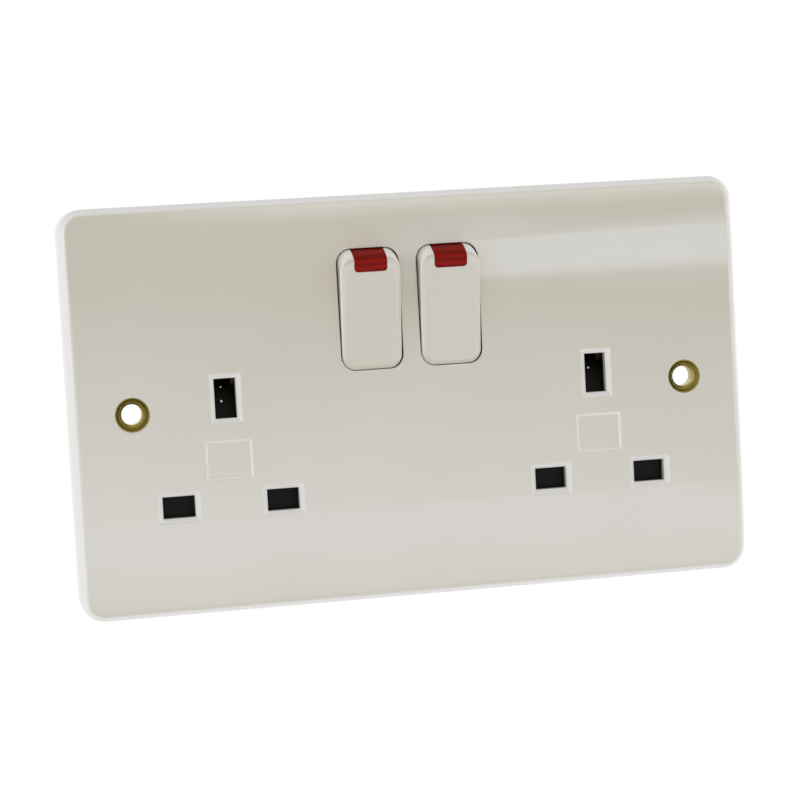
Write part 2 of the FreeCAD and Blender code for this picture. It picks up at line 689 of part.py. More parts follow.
def trunnion_posts():
    """Posts that close the open bearing slots behind the outer trunnions."""
    posts = []
    for _, side in BOTH_SIDES:
        x = side * (SWITCH_X + APERTURE_HALF + WELL_WALL / 2)
        y0 = PIVOT_Y + TRUNNION_RADIUS + SLIDE_GAP
        posts.append(box(
            x - TRUNNION_POST_HALF, x + TRUNNION_POST_HALF, y0, FLOOR + ROOT,
            SWITCH_Z - TRUNNION_POST_REACH, SWITCH_Z + TRUNNION_POST_REACH))
    return posts


def ear_lugs():
    lugs = []
    for x, z in EARS:
        for _, side in BOTH_SIDES:
            x0, x1 = sorted((side * x, side * (x - EAR_REACH - HOUSING_WALL / 2)))
            lug = box(x0, x1, LUG_FRONT, LUG_BACK, z - EAR_RADIUS, z + EAR_RADIUS)
            lugs.append(lug.fuse(rod_y(side * x, z, EAR_RADIUS, LUG_FRONT, LUG_BACK)))
    return lugs


def housing_cuts():
    """Windows for the brass, the notch round the rocker well and the screw holes."""
    gap = LOOSE_GAP
    notch = WELL_HALF + gap
    front = SHUTTER_FRONT - OVERRUN
    cuts = [box(-notch, notch, front, WELL_BACK + gap, WELL_BOTTOM - gap, WELL_TOP + gap)]
    for _, side in BOTH_SIDES:
        x0, x1 = sorted((side * (HOUSING_MID_HALF - STRAP_NOTCH), side * (HOUSING_MID_HALF + OVERRUN)))
        half = STRAP_WIDTH / 2 + gap
        cuts.append(box(x0, x1, front, STRAP_BACK + gap, STRAP_Z - half, STRAP_Z + half))
        for x, z in EARS:
            cuts.append(rod_y(side * x, z, HOUSING_SCREW_RADIUS + gap, SHUTTER_FRONT, LUG_BACK + OVERRUN))
    wall_z = (BAY_TOP - OVERRUN, BAY_TOP + HOUSING_WALL + OVERRUN)
    for x, width, level in (
        (0, TAIL_WIDTH, LEVEL_B),
        (TERMINAL_PITCH, BAR_WIDTH, LEVEL_B),
        (-TERMINAL_PITCH, BAR_WIDTH, LEVEL_C),
    ):
        half = width / 2 + gap
        cuts.append(box(x - half, x + half, level - gap, level + SHEET + gap, *wall_z))
    return cuts


def make_rear_housing():
    solids = [housing_shell(), bay_walls()]
    solids += support_posts() + pin_ribs() + lamp_cradles() + trunnion_posts() + ear_lugs()
    housing = fuse(solids).cut([bay_pocket()] + housing_cuts())
    fins = []
    for _, side in BOTH_SIDES:
        x = side * TERMINAL_PITCH / 2
        fins.append(box(
            x - RIB_THICK / 2, x + RIB_THICK / 2, BAY_FLOOR - ROOT, FLOOR - FIN_INSET,
            TERMINAL_LOW - FIN_DROP, BAY_TOP + ROOT))
    return fuse([housing] + fins)


def make_housing_screws():
    screws = []
    for x, z in EARS:
        for _, side in BOTH_SIDES:
            shank = rod_y(side * x, z, HOUSING_SCREW_RADIUS, LUG_FRONT - HOUSING_SCREW_BITE, LUG_BACK)
            head = rod_y(side * x, z, HOUSING_SCREW_HEAD_RADIUS, LUG_BACK, LUG_BACK + HOUSING_SCREW_HEAD)
            screws.append(shank.fuse(head).removeSplitter())
    return Part.makeCompound(screws)


# Brass inside

def pin_clip(x, web_front):
    """Folded spring clip that takes a line or neutral pin between two leaves."""
    mouth = STRAP_FRONT - CLIP_LEAD
    middle = PIN_GAP / 2 + SHEET / 2
    web = web_front + SHEET / 2
    leaf_z = PIN_Z + middle
    upper = [(mouth, leaf_z + CLIP_FLARE), (mouth + CLIP_MOUTH, leaf_z), (web, leaf_z)]
    lower = [(y, 2 * PIN_Z - z) for y, z in upper[::-1]]
    return bent_strip(upper + lower, x, CLIP_WIDTH)


def rivet_hole(x):
    """Hole for the shank of a fixed rivet."""
    return rod_y(x, CONTACT_Z, RIVET_SHANK_RADIUS, LEVEL_B - OVERRUN, LEVEL_B + SHEET + OVERRUN)


def make_line_contact_left():
    leg = flat_strip(
        [(LINE_LEFT, PIN_Z - CLIP_WIDTH / 2), (LINE_LEFT, CONTACT_Z), (-SWITCH_X + LEG_END, CONTACT_Z)],
        LEG_WIDTH, BAR_BEND, LEVEL_B)
    return fuse([leg, pin_clip(LINE_LEFT, LEVEL_B - SHEET)]).cut(rivet_hole(-SWITCH_X))


def make_line_contact_right():
    cross = PIN_Z + LINE_CROSS_RISE
    route = [
        (LINE_RIGHT, PIN_Z - CLIP_WIDTH / 2), (LINE_RIGHT, cross), (LINE_CORNER_X, cross),
        (LINE_CORNER_X, CONTACT_Z), (SWITCH_X - LEG_END, CONTACT_Z),
    ]
    leg = flat_strip(route, LEG_WIDTH, BAR_BEND, LEVEL_B)
    return fuse([leg, pin_clip(LINE_RIGHT, LEVEL_B - SHEET)]).cut(rivet_hole(SWITCH_X))


def screw_eye(x):
    """Wide end of a bar, lying on its terminal block."""
    return rounded_block(x, TERMINAL_Z, EYE_WIDTH, EYE_WIDTH, LEVEL_B, LEVEL_B + SHEET, EYE_CORNER)


def screw_hole(x):
    """Clearance for a terminal screw through a bar."""
    return rod_y(x, TERMINAL_Z, SCREW_RADIUS + LOOSE_GAP, LEVEL_B - OVERRUN, LEVEL_B + SHEET + OVERRUN)


def make_neutral_bar():
    run = flat_strip(
        [(NEUTRAL_LEFT, PIN_Z - CLIP_WIDTH / 2), (NEUTRAL_LEFT, PIN_Z + NEUTRAL_RISE),
         (-HOUSING_MID_HALF + NEUTRAL_SLANT_INSET, NEUTRAL_RUN_Z), (NEUTRAL_RIGHT, NEUTRAL_RUN_Z),
         (NEUTRAL_RIGHT, PIN_Z - CLIP_WIDTH / 2)],
        NEUTRAL_WIDTH, NEUTRAL_BEND, LEVEL_C)
    half = TONGUE_WIDTH / 2
    tongue = box(-half, half, LEVEL_C, LEVEL_C + SHEET, NEUTRAL_RUN_Z, LAMP_Z + TONGUE_END)
    mid_c = LEVEL_C + SHEET / 2
    mid_b = LEVEL_B + SHEET / 2
    drop = BAY_TOP - 2 * LOOSE_GAP
    tab = bent_strip(
        [(mid_c, NEUTRAL_RUN_Z), (mid_c, drop), (mid_b, drop - JOGGLE), (mid_b, TAB_END)],
        -TERMINAL_PITCH, BAR_WIDTH)
    clips = [pin_clip(x, LEVEL_C - SHEET) for x in (NEUTRAL_LEFT, NEUTRAL_RIGHT)]
    eye = screw_eye(-TERMINAL_PITCH)
    return fuse([run, tongue, tab, eye] + clips).cut(screw_hole(-TERMINAL_PITCH))


def make_line_bar():
    run = flat_strip(
        [(TERMINAL_PITCH, TAB_END), (TERMINAL_PITCH, LINE_RUN_Z),
         (-SWITCH_X - CONTACT_WIDTH / 2, LINE_RUN_Z)],
        LEG_WIDTH, BAR_BEND, LEVEL_B)
    pieces = [run, screw_eye(TERMINAL_PITCH)]
    for _, side in BOTH_SIDES:
        x0 = side * SWITCH_X - CONTACT_WIDTH / 2
        x1 = x0 + CONTACT_WIDTH
        blade_low = SWITCH_Z - BLADE_RADIUS
        blade_high = SWITCH_Z + BLADE_RADIUS
        pieces.append(box(x0, x1, LEVEL_B, LEVEL_B + SHEET, LINE_RUN_Z, blade_high + BLADE_RADIUS))
        pieces.append(box(x0, x1, FULCRUM_Y, LEVEL_B + SHEET / 2, blade_low, blade_high))
        pieces.append(rod_x(FULCRUM_Y, SWITCH_Z, BLADE_RADIUS, x0, x1))
    return fuse(pieces).cut(screw_hole(TERMINAL_PITCH))


def make_earth_strap():
    """One folded strap: a band between the bushes, a pin socket at each outlet and a terminal tail."""
    low = STRAP_Z - STRAP_WIDTH / 2
    band = box(-FIXING_X, FIXING_X, STRAP_FRONT, STRAP_BACK, low, low + STRAP_WIDTH)
    pieces = [band, screw_eye(0)]
    cuts = []
    gap = PIN_GAP / 2
    for _, side in BOTH_SIDES:
        x = side * OUTLET_X
        pad_width = 2 * (gap + SHEET + EARTH_PAD_RIM)
        pieces.append(rounded_block(
            x, EARTH_Z, pad_width, 2 * EARTH_PAD_HALF, STRAP_FRONT, STRAP_BACK, EARTH_PAD_CORNER))
        cuts.append(box(
            x - gap, x + gap, STRAP_FRONT - OVERRUN, STRAP_BACK + OVERRUN,
            EARTH_Z - EARTH_WINDOW_HALF, EARTH_Z + EARTH_WINDOW_HALF))
        fixing = side * FIXING_X
        pieces.append(rod_y(fixing, 0, STRAP_RING_RADIUS, STRAP_FRONT, STRAP_BACK))
        cuts.append(rod_y(fixing, 0, SKIRT_RADIUS + FIT_GAP, STRAP_FRONT - OVERRUN, STRAP_BACK + OVERRUN))
    mid = STRAP_FRONT + SHEET / 2
    turn_z = low - TAIL_DROP
    mid_b = LEVEL_B + SHEET / 2
    pieces.append(bent_strip(
        [(mid, STRAP_Z), (mid, turn_z), (mid_b, turn_z), (mid_b, TAB_END)], 0, TAIL_WIDTH))
    strap = fuse(pieces).cut(cuts + [screw_hole(0)])
    leaves = []
    for _, side in BOTH_SIDES:
        x = side * OUTLET_X
        for leaf_side in (-1, 1):
            x0, x1 = sorted((x + leaf_side * gap, x + leaf_side * (gap + SHEET)))
            leaves.append(box(x0, x1, STRAP_FRONT + SHEET / 4, FLOOR, EARTH_LEAF_LOW, EARTH_LEAF_HIGH))
        leaves.append(box(
            x - gap - SHEET, x + gap + SHEET, FLOOR - SHEET, FLOOR, EARTH_LEAF_LOW, EARTH_LEAF_HIGH))
    return fuse([strap] + leaves)


# Terminals

def make_terminal(x):
    """Brass block with a wire bore along Z and a threaded hole for its screw."""
    half = TERMINAL_WIDTH / 2
    bore_y = BAY_FLOOR + WIRE_BORE_DEPTH
    block = box(x - half, x + half, BAY_FLOOR, LEVEL_B, TERMINAL_LOW, TERMINAL_TOP)
    upright = [edge for edge in block.Edges if edge.BoundBox.YLength > TERMINAL_DEPTH / 2]
    block = block.makeChamfer(TERMINAL_EDGE, upright)
    bore = rod_z(x, bore_y, WIRE_BORE_RADIUS, TERMINAL_LOW - OVERRUN, TERMINAL_TOP + OVERRUN)
    tapping = rod_y(x, TERMINAL_Z, SCREW_RADIUS + FIT_GAP, bore_y, LEVEL_B + OVERRUN)
    return block.cut([bore, tapping])


def make_terminal_screws():
    screws = []
    seat = LEVEL_B + SHEET + SCREW_BACKED_OUT
    top = seat + SCREW_HEAD
    tip = BAY_FLOOR + WIRE_BORE_DEPTH + WIRE_BORE_RADIUS + LOOSE_GAP
    low = TERMINAL_Z - SCREW_SLOT / 2
    reach = SCREW_HEAD_RADIUS + OVERRUN
    for x in (-TERMINAL_PITCH, 0, TERMINAL_PITCH):
        head = rod_y(x, TERMINAL_Z, SCREW_HEAD_RADIUS, seat, top)
        slot = box(x - reach, x + reach, seat + SCREW_HEAD / 2, top + OVERRUN, low, low + SCREW_SLOT)
        shank = rod_y(x, TERMINAL_Z, SCREW_RADIUS, tip, seat)
        screws.append(shank.fuse(head.cut(slot)).removeSplitter())
    return Part.makeCompound(screws)


# Shutters

def make_shutter(side):
    """Sliding shutter: a bar over two slots, a stem with a spring window and the earth pin's ramp."""
    x = side * OUTLET_X
    half = PIN_PITCH / 2 + PIN_SLOT_WIDTH / 2 + SHUTTER_OVERLAP
    low = PIN_Z - SHUTTER_BELOW
    high = PIN_Z + SHUTTER_ABOVE
    bar = box(x - half, x + half, SHUTTER_FRONT, SHUTTER_BACK, low, high)
    stem = box(x - STEM_HALF, x + STEM_HALF, SHUTTER_FRONT, SHUTTER_BACK, PIN_Z, WINDOW_TOP)
    crest = SHUTTER_TOE + RAMP_RISE
    ramp = prism_x(
        [(SHUTTER_FRONT, WINDOW_TOP), (SHUTTER_FRONT, SHUTTER_TOE), (RAMP_BACK - RAMP_TIP, crest),
         (RAMP_BACK, crest), (RAMP_BACK, WINDOW_TOP + RAMP_BACK - SHUTTER_BACK),
         (SHUTTER_BACK, WINDOW_TOP)],
        x - STEM_HALF, x + STEM_HALF)
    window = box(
        x - WINDOW_HALF, x + WINDOW_HALF, SHUTTER_FRONT - OVERRUN, SHUTTER_BACK + OVERRUN,
        PEG_TOP - PEG_HEIGHT - LOOSE_GAP, WINDOW_TOP)
    return fuse([bar, stem]).cut(window).fuse(ramp).removeSplitter()


def make_shutter_spring(side):
    x = side * OUTLET_X
    y = INNER + FIT_GAP * 2 + SPRING_RADIUS
    outer = rod_z(x, y, SPRING_RADIUS, PEG_TOP, WINDOW_TOP)
    bore = rod_z(x, y, SPRING_RADIUS - SPRING_WIRE, PEG_TOP - OVERRUN, WINDOW_TOP + OVERRUN)
    return outer.cut(bore)


# Rockers, made level about the pivot and then tipped to the on position of the photograph

def tip_rocker(shape, side):
    shape.rotate(V(0, 0, 0), V(1, 0, 0), ROCKER_SWING / 2)
    shape.translate(V(side * SWITCH_X, PIVOT_Y, SWITCH_Z))
    return shape


def rocker_block():
    """Outer form of a rocker: flat face, ends on an arc about the pivot, rounded all round."""
    half = ROCKER_WIDTH / 2
    drum = rod_x(0, 0, ROCKER_END_RADIUS, -half, half)
    reach = ROCKER_END_RADIUS + OVERRUN
    block = drum.common(box(-half, half, -ROCKER_FACE, ROCKER_BACK, -reach, reach))
    block = block.makeFillet(ROCKER_CORNER, round_ends(block, ROCKER_END_RADIUS))
    rim = [edge for edge in block.Edges if edge.BoundBox.YMax < -ROCKER_FACE + NEAR]
    return block.makeFillet(ROCKER_ROUND, rim)


def rocker_hollow():
    half = ROCKER_WIDTH / 2 - ROCKER_WALL
    drum = rod_x(0, 0, ROCKER_END_RADIUS - ROCKER_WALL, -half, half)
    back = ROCKER_BACK + OVERRUN
    reach = ROCKER_END_RADIUS
    return drum.common(box(-half, half, -ROCKER_FACE + ROCKER_WALL, back, -reach, reach))


def lens_tool():
    """The window that the lens fills, on the upper end of the face and over the end wall."""
    half = LENS_WIDTH / 2
    tool = box(-half, half, -ROCKER_FACE - OVERRUN, LENS_DEPTH, LENS_LOW, ROCKER_END_RADIUS + OVERRUN)
    corners = [e for e in tool.Edges if e.BoundBox.ZMax < LENS_LOW + NEAR and e.BoundBox.XLength < NEAR]
    return tool.makeFillet(LENS_CORNER, corners)


def make_rocker(side):
    half = ROCKER_WIDTH / 2
    shell = rocker_block().cut([rocker_hollow(), lens_tool()])
    stem = rod_y(0, 0, STEM_RADIUS, -ROCKER_FACE + ROCKER_WALL / 2, STEM_END)
    solids = [shell, stem]
    for end in (-1, 1):
        x0, x1 = sorted((end * (half - ROCKER_WALL / 2), end * (half + TRUNNION_LENGTH)))
        solids.append(rod_x(0, 0, TRUNNION_RADIUS, x0, x1))
    bore = rod_y(0, 0, STEM_BORE_RADIUS, STEM_BORE_START, STEM_END + OVERRUN)
    return tip_rocker(fuse(solids).cut(bore), side)


def make_neon_lens(side):
    """Red window moulded to the rocker's wall, with light-spreading ridges inside."""
    lens = rocker_block().common(lens_tool()).cut(rocker_hollow())
    for step in range(RIDGE_COUNT):
        z = LENS_LOW + RIDGE_START + RIDGE_PITCH * step
        lens = lens.cut(rod_x(-ROCKER_FACE + ROCKER_WALL, z, RIDGE_RADIUS, -LENS_WIDTH, LENS_WIDTH))
    return tip_rocker(lens, side)


def make_rocker_spring(side):
    outer = rod_y(0, 0, STEM_BORE_RADIUS - LOOSE_GAP, STEM_BORE_START, PLUNGER_BACK)
    inner = rod_y(0, 0, STEM_BORE_RADIUS - LOOSE_GAP - SPRING_WIRE, 0, PLUNGER_BACK + OVERRUN)
    return tip_rocker(outer.cut(inner), side)


def make_rocker_plunger(side):
    """Plunger that slides in the rocker's stem and tips the see-saw with its round nose."""
    nose_y = PLUNGER_TIP - PLUNGER_TIP_RADIUS
    body = rod_y(0, 0, PLUNGER_RADIUS, PLUNGER_BACK, STEM_END + PLUNGER_SHOULDER)
    neck = rod_y(0, 0, PLUNGER_TIP_RADIUS, STEM_END, nose_y)
    nose = Part.makeSphere(PLUNGER_TIP_RADIUS, V(0, nose_y, 0))
    return tip_rocker(fuse([body, neck, nose]), side)


# See-saw contacts, made level about the fulcrum and then tipped closed

def tip_contact(shape, side):
    shape.rotate(V(0, 0, 0), V(1, 0, 0), -CONTACT_SWING / 2)
    shape.translate(V(side * SWITCH_X, FULCRUM_Y, SWITCH_Z))
    return shape


def make_switch_contact(side):
    half = CONTACT_WIDTH / 2
    bar = box(-half, half, -CONTACT_THICK, 0, -CONTACT_HALF, CONTACT_HALF)
    corners = [edge for edge in bar.Edges if edge.BoundBox.YLength > CONTACT_THICK / 2]
    bar = bar.makeFillet(CONTACT_CORNER, corners)
    groove = rod_x(0, 0, BLADE_RADIUS + GROOVE_GAP, -half - OVERRUN, half + OVERRUN)
    hole = rod_y(0, RIVET_OFFSET, RIVET_SHANK_RADIUS, -CONTACT_THICK - OVERRUN, OVERRUN)
    return tip_contact(bar.cut([groove, hole]), side)


def rivet(head_radius, head_y0, head_y1, shank_y0, shank_y1, z):
    head = rod_y(0, z, head_radius, min(head_y0, head_y1), max(head_y0, head_y1))
    flat = [edge for edge in head.Edges if edge.BoundBox.YLength < NEAR]
    outer = [edge for edge in flat if abs(edge.BoundBox.YMax - head_y0) < NEAR]
    head = head.makeChamfer(RIVET_EDGE, outer)
    return head.fuse(rod_y(0, z, RIVET_SHANK_RADIUS, shank_y0, shank_y1)).removeSplitter()


def make_moving_rivet(side):
    shape = rivet(MOVING_RIVET_RADIUS, MOVING_RIVET_HEIGHT, 0, -CONTACT_THICK, 0, RIVET_OFFSET)
    return tip_contact(shape, side)


def make_fixed_rivet(side):
    shape = rivet(
        FIXED_RIVET_RADIUS, LEVEL_B - FIXED_RIVET_HEIGHT, LEVEL_B, LEVEL_B, LEVEL_B + SHEET, CONTACT_Z)
    shape.translate(V(side * SWITCH_X, 0, 0))
    return shape


# Neon lamps

def make_neon_lamp(side):
    """Glass envelope along X with a pinched seal at the inner end."""
    x0 = side * SWITCH_X - LAMP_LENGTH / 2
    glass = rod_x(LAMP_Y, LAMP_Z, LAMP_RADIUS, x0, x0 + LAMP_LENGTH)
    ends = [edge for edge in glass.Edges if edge.BoundBox.XLength < NEAR]
    return glass.makeChamfer(LAMP_SHOULDER, ends)


def lamp_end(side, outward):
    return V(side * (SWITCH_X + outward * LAMP_LENGTH / 2), LAMP_Y, LAMP_Z)


def make_neon_resistor(side):
    x0, x1 = sorted((side * RESISTOR_START, side * (RESISTOR_START + RESISTOR_LENGTH)))
    body = rod_x(RESISTOR_Y, LAMP_Z, RESISTOR_RADIUS, x0, x1)
    ends = [edge for edge in body.Edges if edge.BoundBox.XLength < NEAR]
    return body.makeChamfer(RESISTOR_EDGE, ends)


def make_lamp_neutral_lead(side):
    start = lamp_end(side, -1)
    bend = V(start.x - side * LEAD_RUN, LAMP_Y, LAMP_Z)
    return wire_lead([start, bend, V(side * LEAD_MEET, LEVEL_C - LEAD_RADIUS, LAMP_Z)])


def make_lamp_resistor_lead(side):
    start = lamp_end(side, 1)
    middle = start.x + side * RESISTOR_SPACE / 2
    end = V(side * RESISTOR_START, RESISTOR_Y, LAMP_Z)
    return wire_lead([start, V(middle, LAMP_Y, LAMP_Z), V(middle, RESISTOR_Y, LAMP_Z), end])


def make_resistor_line_lead(side):
    start = V(side * (RESISTOR_START + RESISTOR_LENGTH), RESISTOR_Y, LAMP_Z)
    bend = V(start.x + side * LEAD_RUN, RESISTOR_Y, LAMP_Z)
    end = V(bend.x, LEVEL_B - LEAD_RADIUS, CONTACT_Z)
    return wire_lead([start, bend, end])


# All pieces, one file each

def make_pieces():
    pieces = {
        "front_plate": make_front_plate(),
        "rear_housing": make_rear_housing(),
        "housing_screws": make_housing_screws(),
        "earth_strap": make_earth_strap(),
        "neutral_bar": make_neutral_bar(),
        "line_bar": make_line_bar(),
        "line_contact_left": make_line_contact_left(),
        "line_contact_right": make_line_contact_right(),
        "neutral_terminal": make_terminal(-TERMINAL_PITCH),
        "earth_terminal": make_terminal(0),
        "line_terminal": make_terminal(TERMINAL_PITCH),
        "terminal_screws": make_terminal_screws(),
    }
    paired = {
        "fixing_bush": make_fixing_bush,
        "shutter": make_shutter,
        "shutter_spring": make_shutter_spring,
        "rocker": make_rocker,
        "neon_lens": make_neon_lens,
        "rocker_spring": make_rocker_spring,
        "rocker_plunger": make_rocker_plunger,
        "switch_contact": make_switch_contact,
        "moving_rivet": make_moving_rivet,
        "fixed_rivet": make_fixed_rivet,
        "neon_lamp": make_neon_lamp,
        "neon_resistor": make_neon_resistor,
        "lamp_neutral_lead": make_lamp_neutral_lead,
        "lamp_resistor_lead": make_lamp_resistor_lead,
        "resistor_line_lead": make_resistor_line_lead,
    }
    for name, make in paired.items():
        for side_name, side in BOTH_SIDES:
            pieces[name + "_" + side_name] = make(side)
    return pieces


os.makedirs("parts", exist_ok=True)
for node, shape in make_pieces().items():
    shape.exportStep("parts/" + node + ".step")
    print(node, len(shape.Solids), "solids", round(shape.Volume, 1), "mm3, valid:", shape.isValid())
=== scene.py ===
# %% [markdown]
# A switched twin socket for a wall box, dressed for its portrait. The construction comes as a fixed
# frame of named pieces at their real size, in metres: X to the right seen from the front, Y into the
# wall, Z up. Nothing of it is moved here. This lesson gives every piece its finish, models the small
# things that a construction drawing leaves plain, such as coil springs and screw threads, and lights
# and frames the picture.

# %% Load the frame
import math

import bpy
from mathutils import Matrix, Vector


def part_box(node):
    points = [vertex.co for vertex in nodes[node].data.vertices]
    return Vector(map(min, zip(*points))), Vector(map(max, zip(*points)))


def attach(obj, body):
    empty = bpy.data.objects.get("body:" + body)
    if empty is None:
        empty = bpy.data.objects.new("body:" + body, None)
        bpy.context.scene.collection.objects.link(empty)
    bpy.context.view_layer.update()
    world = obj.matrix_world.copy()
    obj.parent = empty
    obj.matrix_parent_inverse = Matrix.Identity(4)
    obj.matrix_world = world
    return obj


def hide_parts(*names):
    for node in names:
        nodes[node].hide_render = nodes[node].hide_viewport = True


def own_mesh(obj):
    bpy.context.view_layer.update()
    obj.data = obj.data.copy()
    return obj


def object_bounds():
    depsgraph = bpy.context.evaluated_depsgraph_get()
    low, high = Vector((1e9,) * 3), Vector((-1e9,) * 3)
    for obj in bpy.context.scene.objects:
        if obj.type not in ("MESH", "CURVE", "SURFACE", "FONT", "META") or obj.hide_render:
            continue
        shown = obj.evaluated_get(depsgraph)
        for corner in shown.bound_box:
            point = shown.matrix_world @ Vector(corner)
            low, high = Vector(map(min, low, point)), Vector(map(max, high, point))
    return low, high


MM = 0.001
SIDES = ("left", "right")

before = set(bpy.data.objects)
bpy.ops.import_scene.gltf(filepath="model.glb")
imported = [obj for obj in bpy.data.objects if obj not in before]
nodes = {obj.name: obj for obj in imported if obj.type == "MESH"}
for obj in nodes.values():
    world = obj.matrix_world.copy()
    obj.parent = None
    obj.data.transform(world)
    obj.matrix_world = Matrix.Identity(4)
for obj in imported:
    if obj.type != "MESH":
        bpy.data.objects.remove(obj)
cad_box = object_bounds()


def middle(node):
    low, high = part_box(node)
    return (low + high) / 2


def size_in_mm(node):
    low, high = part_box(node)
    return [round(length / MM, 1) for length in high - low]


print("pieces in the frame:", len(nodes))
print("front plate in millimetres:", size_in_mm("front_plate"))

# %% [markdown]
# The photograph looks at the plate from a little left of its middle and a little above, through a long
# lens that keeps the edges nearly parallel. A camera could be pushed about by eye until the picture
# fits. Here it is three directions and a place, because two angles, a roll and a distance can be read
# and changed one by one. The direction back from the plate to the lens comes from the two angles, the
# other two follow from it, and the small roll tips the horizon as it is in the photograph.

# %% Camera
CAMERA_AZIMUTH = math.radians(-11.697)
CAMERA_ELEVATION = math.radians(4.627)
CAMERA_ROLL = math.radians(-3.118)
CAMERA_DISTANCE = 520.217 * MM
CAMERA_TARGET = Vector((-3.246, -9.5, -0.794)) * MM
NEAREST_SEEN = 10 * MM
SENSOR_MM = 36.0
FOCAL_PIXELS = 2440.02
PICTURE_PIXELS = 800


def place_camera():
    level = math.cos(CAMERA_ELEVATION)
    back = Vector((
        math.sin(CAMERA_AZIMUTH) * level, -math.cos(CAMERA_AZIMUTH) * level, math.sin(CAMERA_ELEVATION)))
    right = Vector((math.cos(CAMERA_AZIMUTH), math.sin(CAMERA_AZIMUTH), 0))
    up = back.cross(right)
    turn = Matrix.Rotation(CAMERA_ROLL, 3, back)
    axes = Matrix((turn @ right, turn @ up, back)).transposed()
    bpy.ops.object.camera_add(location=CAMERA_TARGET + back * CAMERA_DISTANCE)
    camera = bpy.context.object
    camera.rotation_euler = axes.to_euler()
    camera.data.sensor_width = SENSOR_MM
    camera.data.lens = SENSOR_MM * FOCAL_PIXELS / PICTURE_PIXELS
    camera.data.clip_start = NEAREST_SEEN
    bpy.context.scene.camera = camera
    return camera


camera = place_camera()
print("lens in millimetres:", round(camera.data.lens, 2))

# %% [markdown]
# The light comes from all round. Lamps could be hung about the object, but each would leave a spot on
# the glossy face. A sky made of nodes gives light from everywhere, and its strength can follow the
# direction. Two helpers do the sums: one leads a value from one result to another as it crosses a span,
# which makes a soft edge, and the other multiplies several values or takes the largest.

# %% Sky and its directions

def ranged(tree, value, span, result=(0.0, 1.0)):
    """Goes from the first result to the second as the value crosses the span."""
    limits = tree.nodes.new("ShaderNodeMapRange")
    limits.inputs["From Min"].default_value = span[0]
    limits.inputs["From Max"].default_value = span[1]
    limits.inputs["To Min"].default_value = result[0]
    limits.inputs["To Max"].default_value = result[1]
    tree.links.new(value, limits.inputs["Value"])
    return limits.outputs["Result"]


def joined_by(tree, operation, *values):
    """Several numbers multiplied, or the largest of them."""
    result = values[0]
    for value in values[1:]:
        step = tree.nodes.new("ShaderNodeMath")
        step.operation = operation
        tree.links.new(result, step.inputs[0])
        tree.links.new(value, step.inputs[1])
        result = step.outputs["Value"]
    return result


sky = bpy.data.worlds.new("pale_sky")
sky.use_nodes = True
sky_tree = sky.node_tree
sky_tree.nodes.clear()
where = sky_tree.nodes.new("ShaderNodeTexCoord")
directions = sky_tree.nodes.new("ShaderNodeSeparateXYZ")
sky_tree.links.new(where.outputs["Generated"], directions.inputs["Vector"])
rightward = directions.outputs["X"]
inward = directions.outputs["Y"]
upward = directions.outputs["Z"]
bpy.context.scene.world = sky
print("sky:", bpy.context.scene.world.name)

# %% [markdown]
# The soft light is a white tent: brightest and cool beside the plate, half as bright behind it, warm and
# dimmer around the lens, and fading upwards. Even light from all sides would make rims and face equally
# bright. The tent whitens the rounded rims and the chamfers of the slots and leaves the flat face a
# calm grey-cream.

# %% Soft light
EVERYWHERE = (-1.0, 1.0)
UPPER_HALF = (0.0, 1.0)
TOP_SHARE = 0.35
TENT_LIGHT = 1.75
TENT_COLOR = (0.97, 1.0, 1.05, 1.0)
TENT_EDGE = (-0.65, 0.05)
TENT_LEAN = (0.95, 1.05)
BACK_EDGE = (0.1, 0.7)
BACK_SHARE = 0.5
FRONT_LIGHT = 1.13
FRONT_COLOR = (1.0, 0.99, 0.975, 1.0)
FRONT_EDGE = (-1.0, 0.05)


def patch(*shares):
    """A stretch of sky that is bright only where each of its shares is."""
    return joined_by(sky_tree, "MULTIPLY", *shares)


def sky_light(color, strength=None):
    light = sky_tree.nodes.new("ShaderNodeBackground")
    light.inputs["Color"].default_value = color
    if strength is not None:
        sky_tree.links.new(strength, light.inputs["Strength"])
    return light.outputs["Background"]


def summed(*shaders):
    result = shaders[0]
    for shader in shaders[1:]:
        step = sky_tree.nodes.new("ShaderNodeAddShader")
        sky_tree.links.new(result, step.inputs[0])
        sky_tree.links.new(shader, step.inputs[1])
        result = step.outputs["Shader"]
    return result


fading = ranged(sky_tree, upward, UPPER_HALF, (1.0, TOP_SHARE))
tent = patch(
    fading, ranged(sky_tree, rightward, EVERYWHERE, TENT_LEAN),
    ranged(sky_tree, inward, BACK_EDGE, (1.0, BACK_SHARE)),
    ranged(sky_tree, inward, TENT_EDGE, (0.0, TENT_LIGHT)))
front = patch(fading, ranged(sky_tree, inward, FRONT_EDGE, (FRONT_LIGHT, 0.0)))
soft = summed(sky_light(TENT_COLOR, tent), sky_light(FRONT_COLOR, front))
print("strength of the tent and of its front:", TENT_LIGHT, FRONT_LIGHT)

# %% [markdown]
# Four bright things stand around, and only gloss shows them. A cool window to the right of the lens
# draws the pale band along the rolled upper edge, and a strip of ceiling above it lights the very top.
# A pale table below the lens brightens the lower half of the face, and walls beside the plate draw the
# light lines on its rims. Glowing cards could do this, but they would stand in the way of other views.
# A patch of sky between limits of direction, with soft edges, hides nothing.

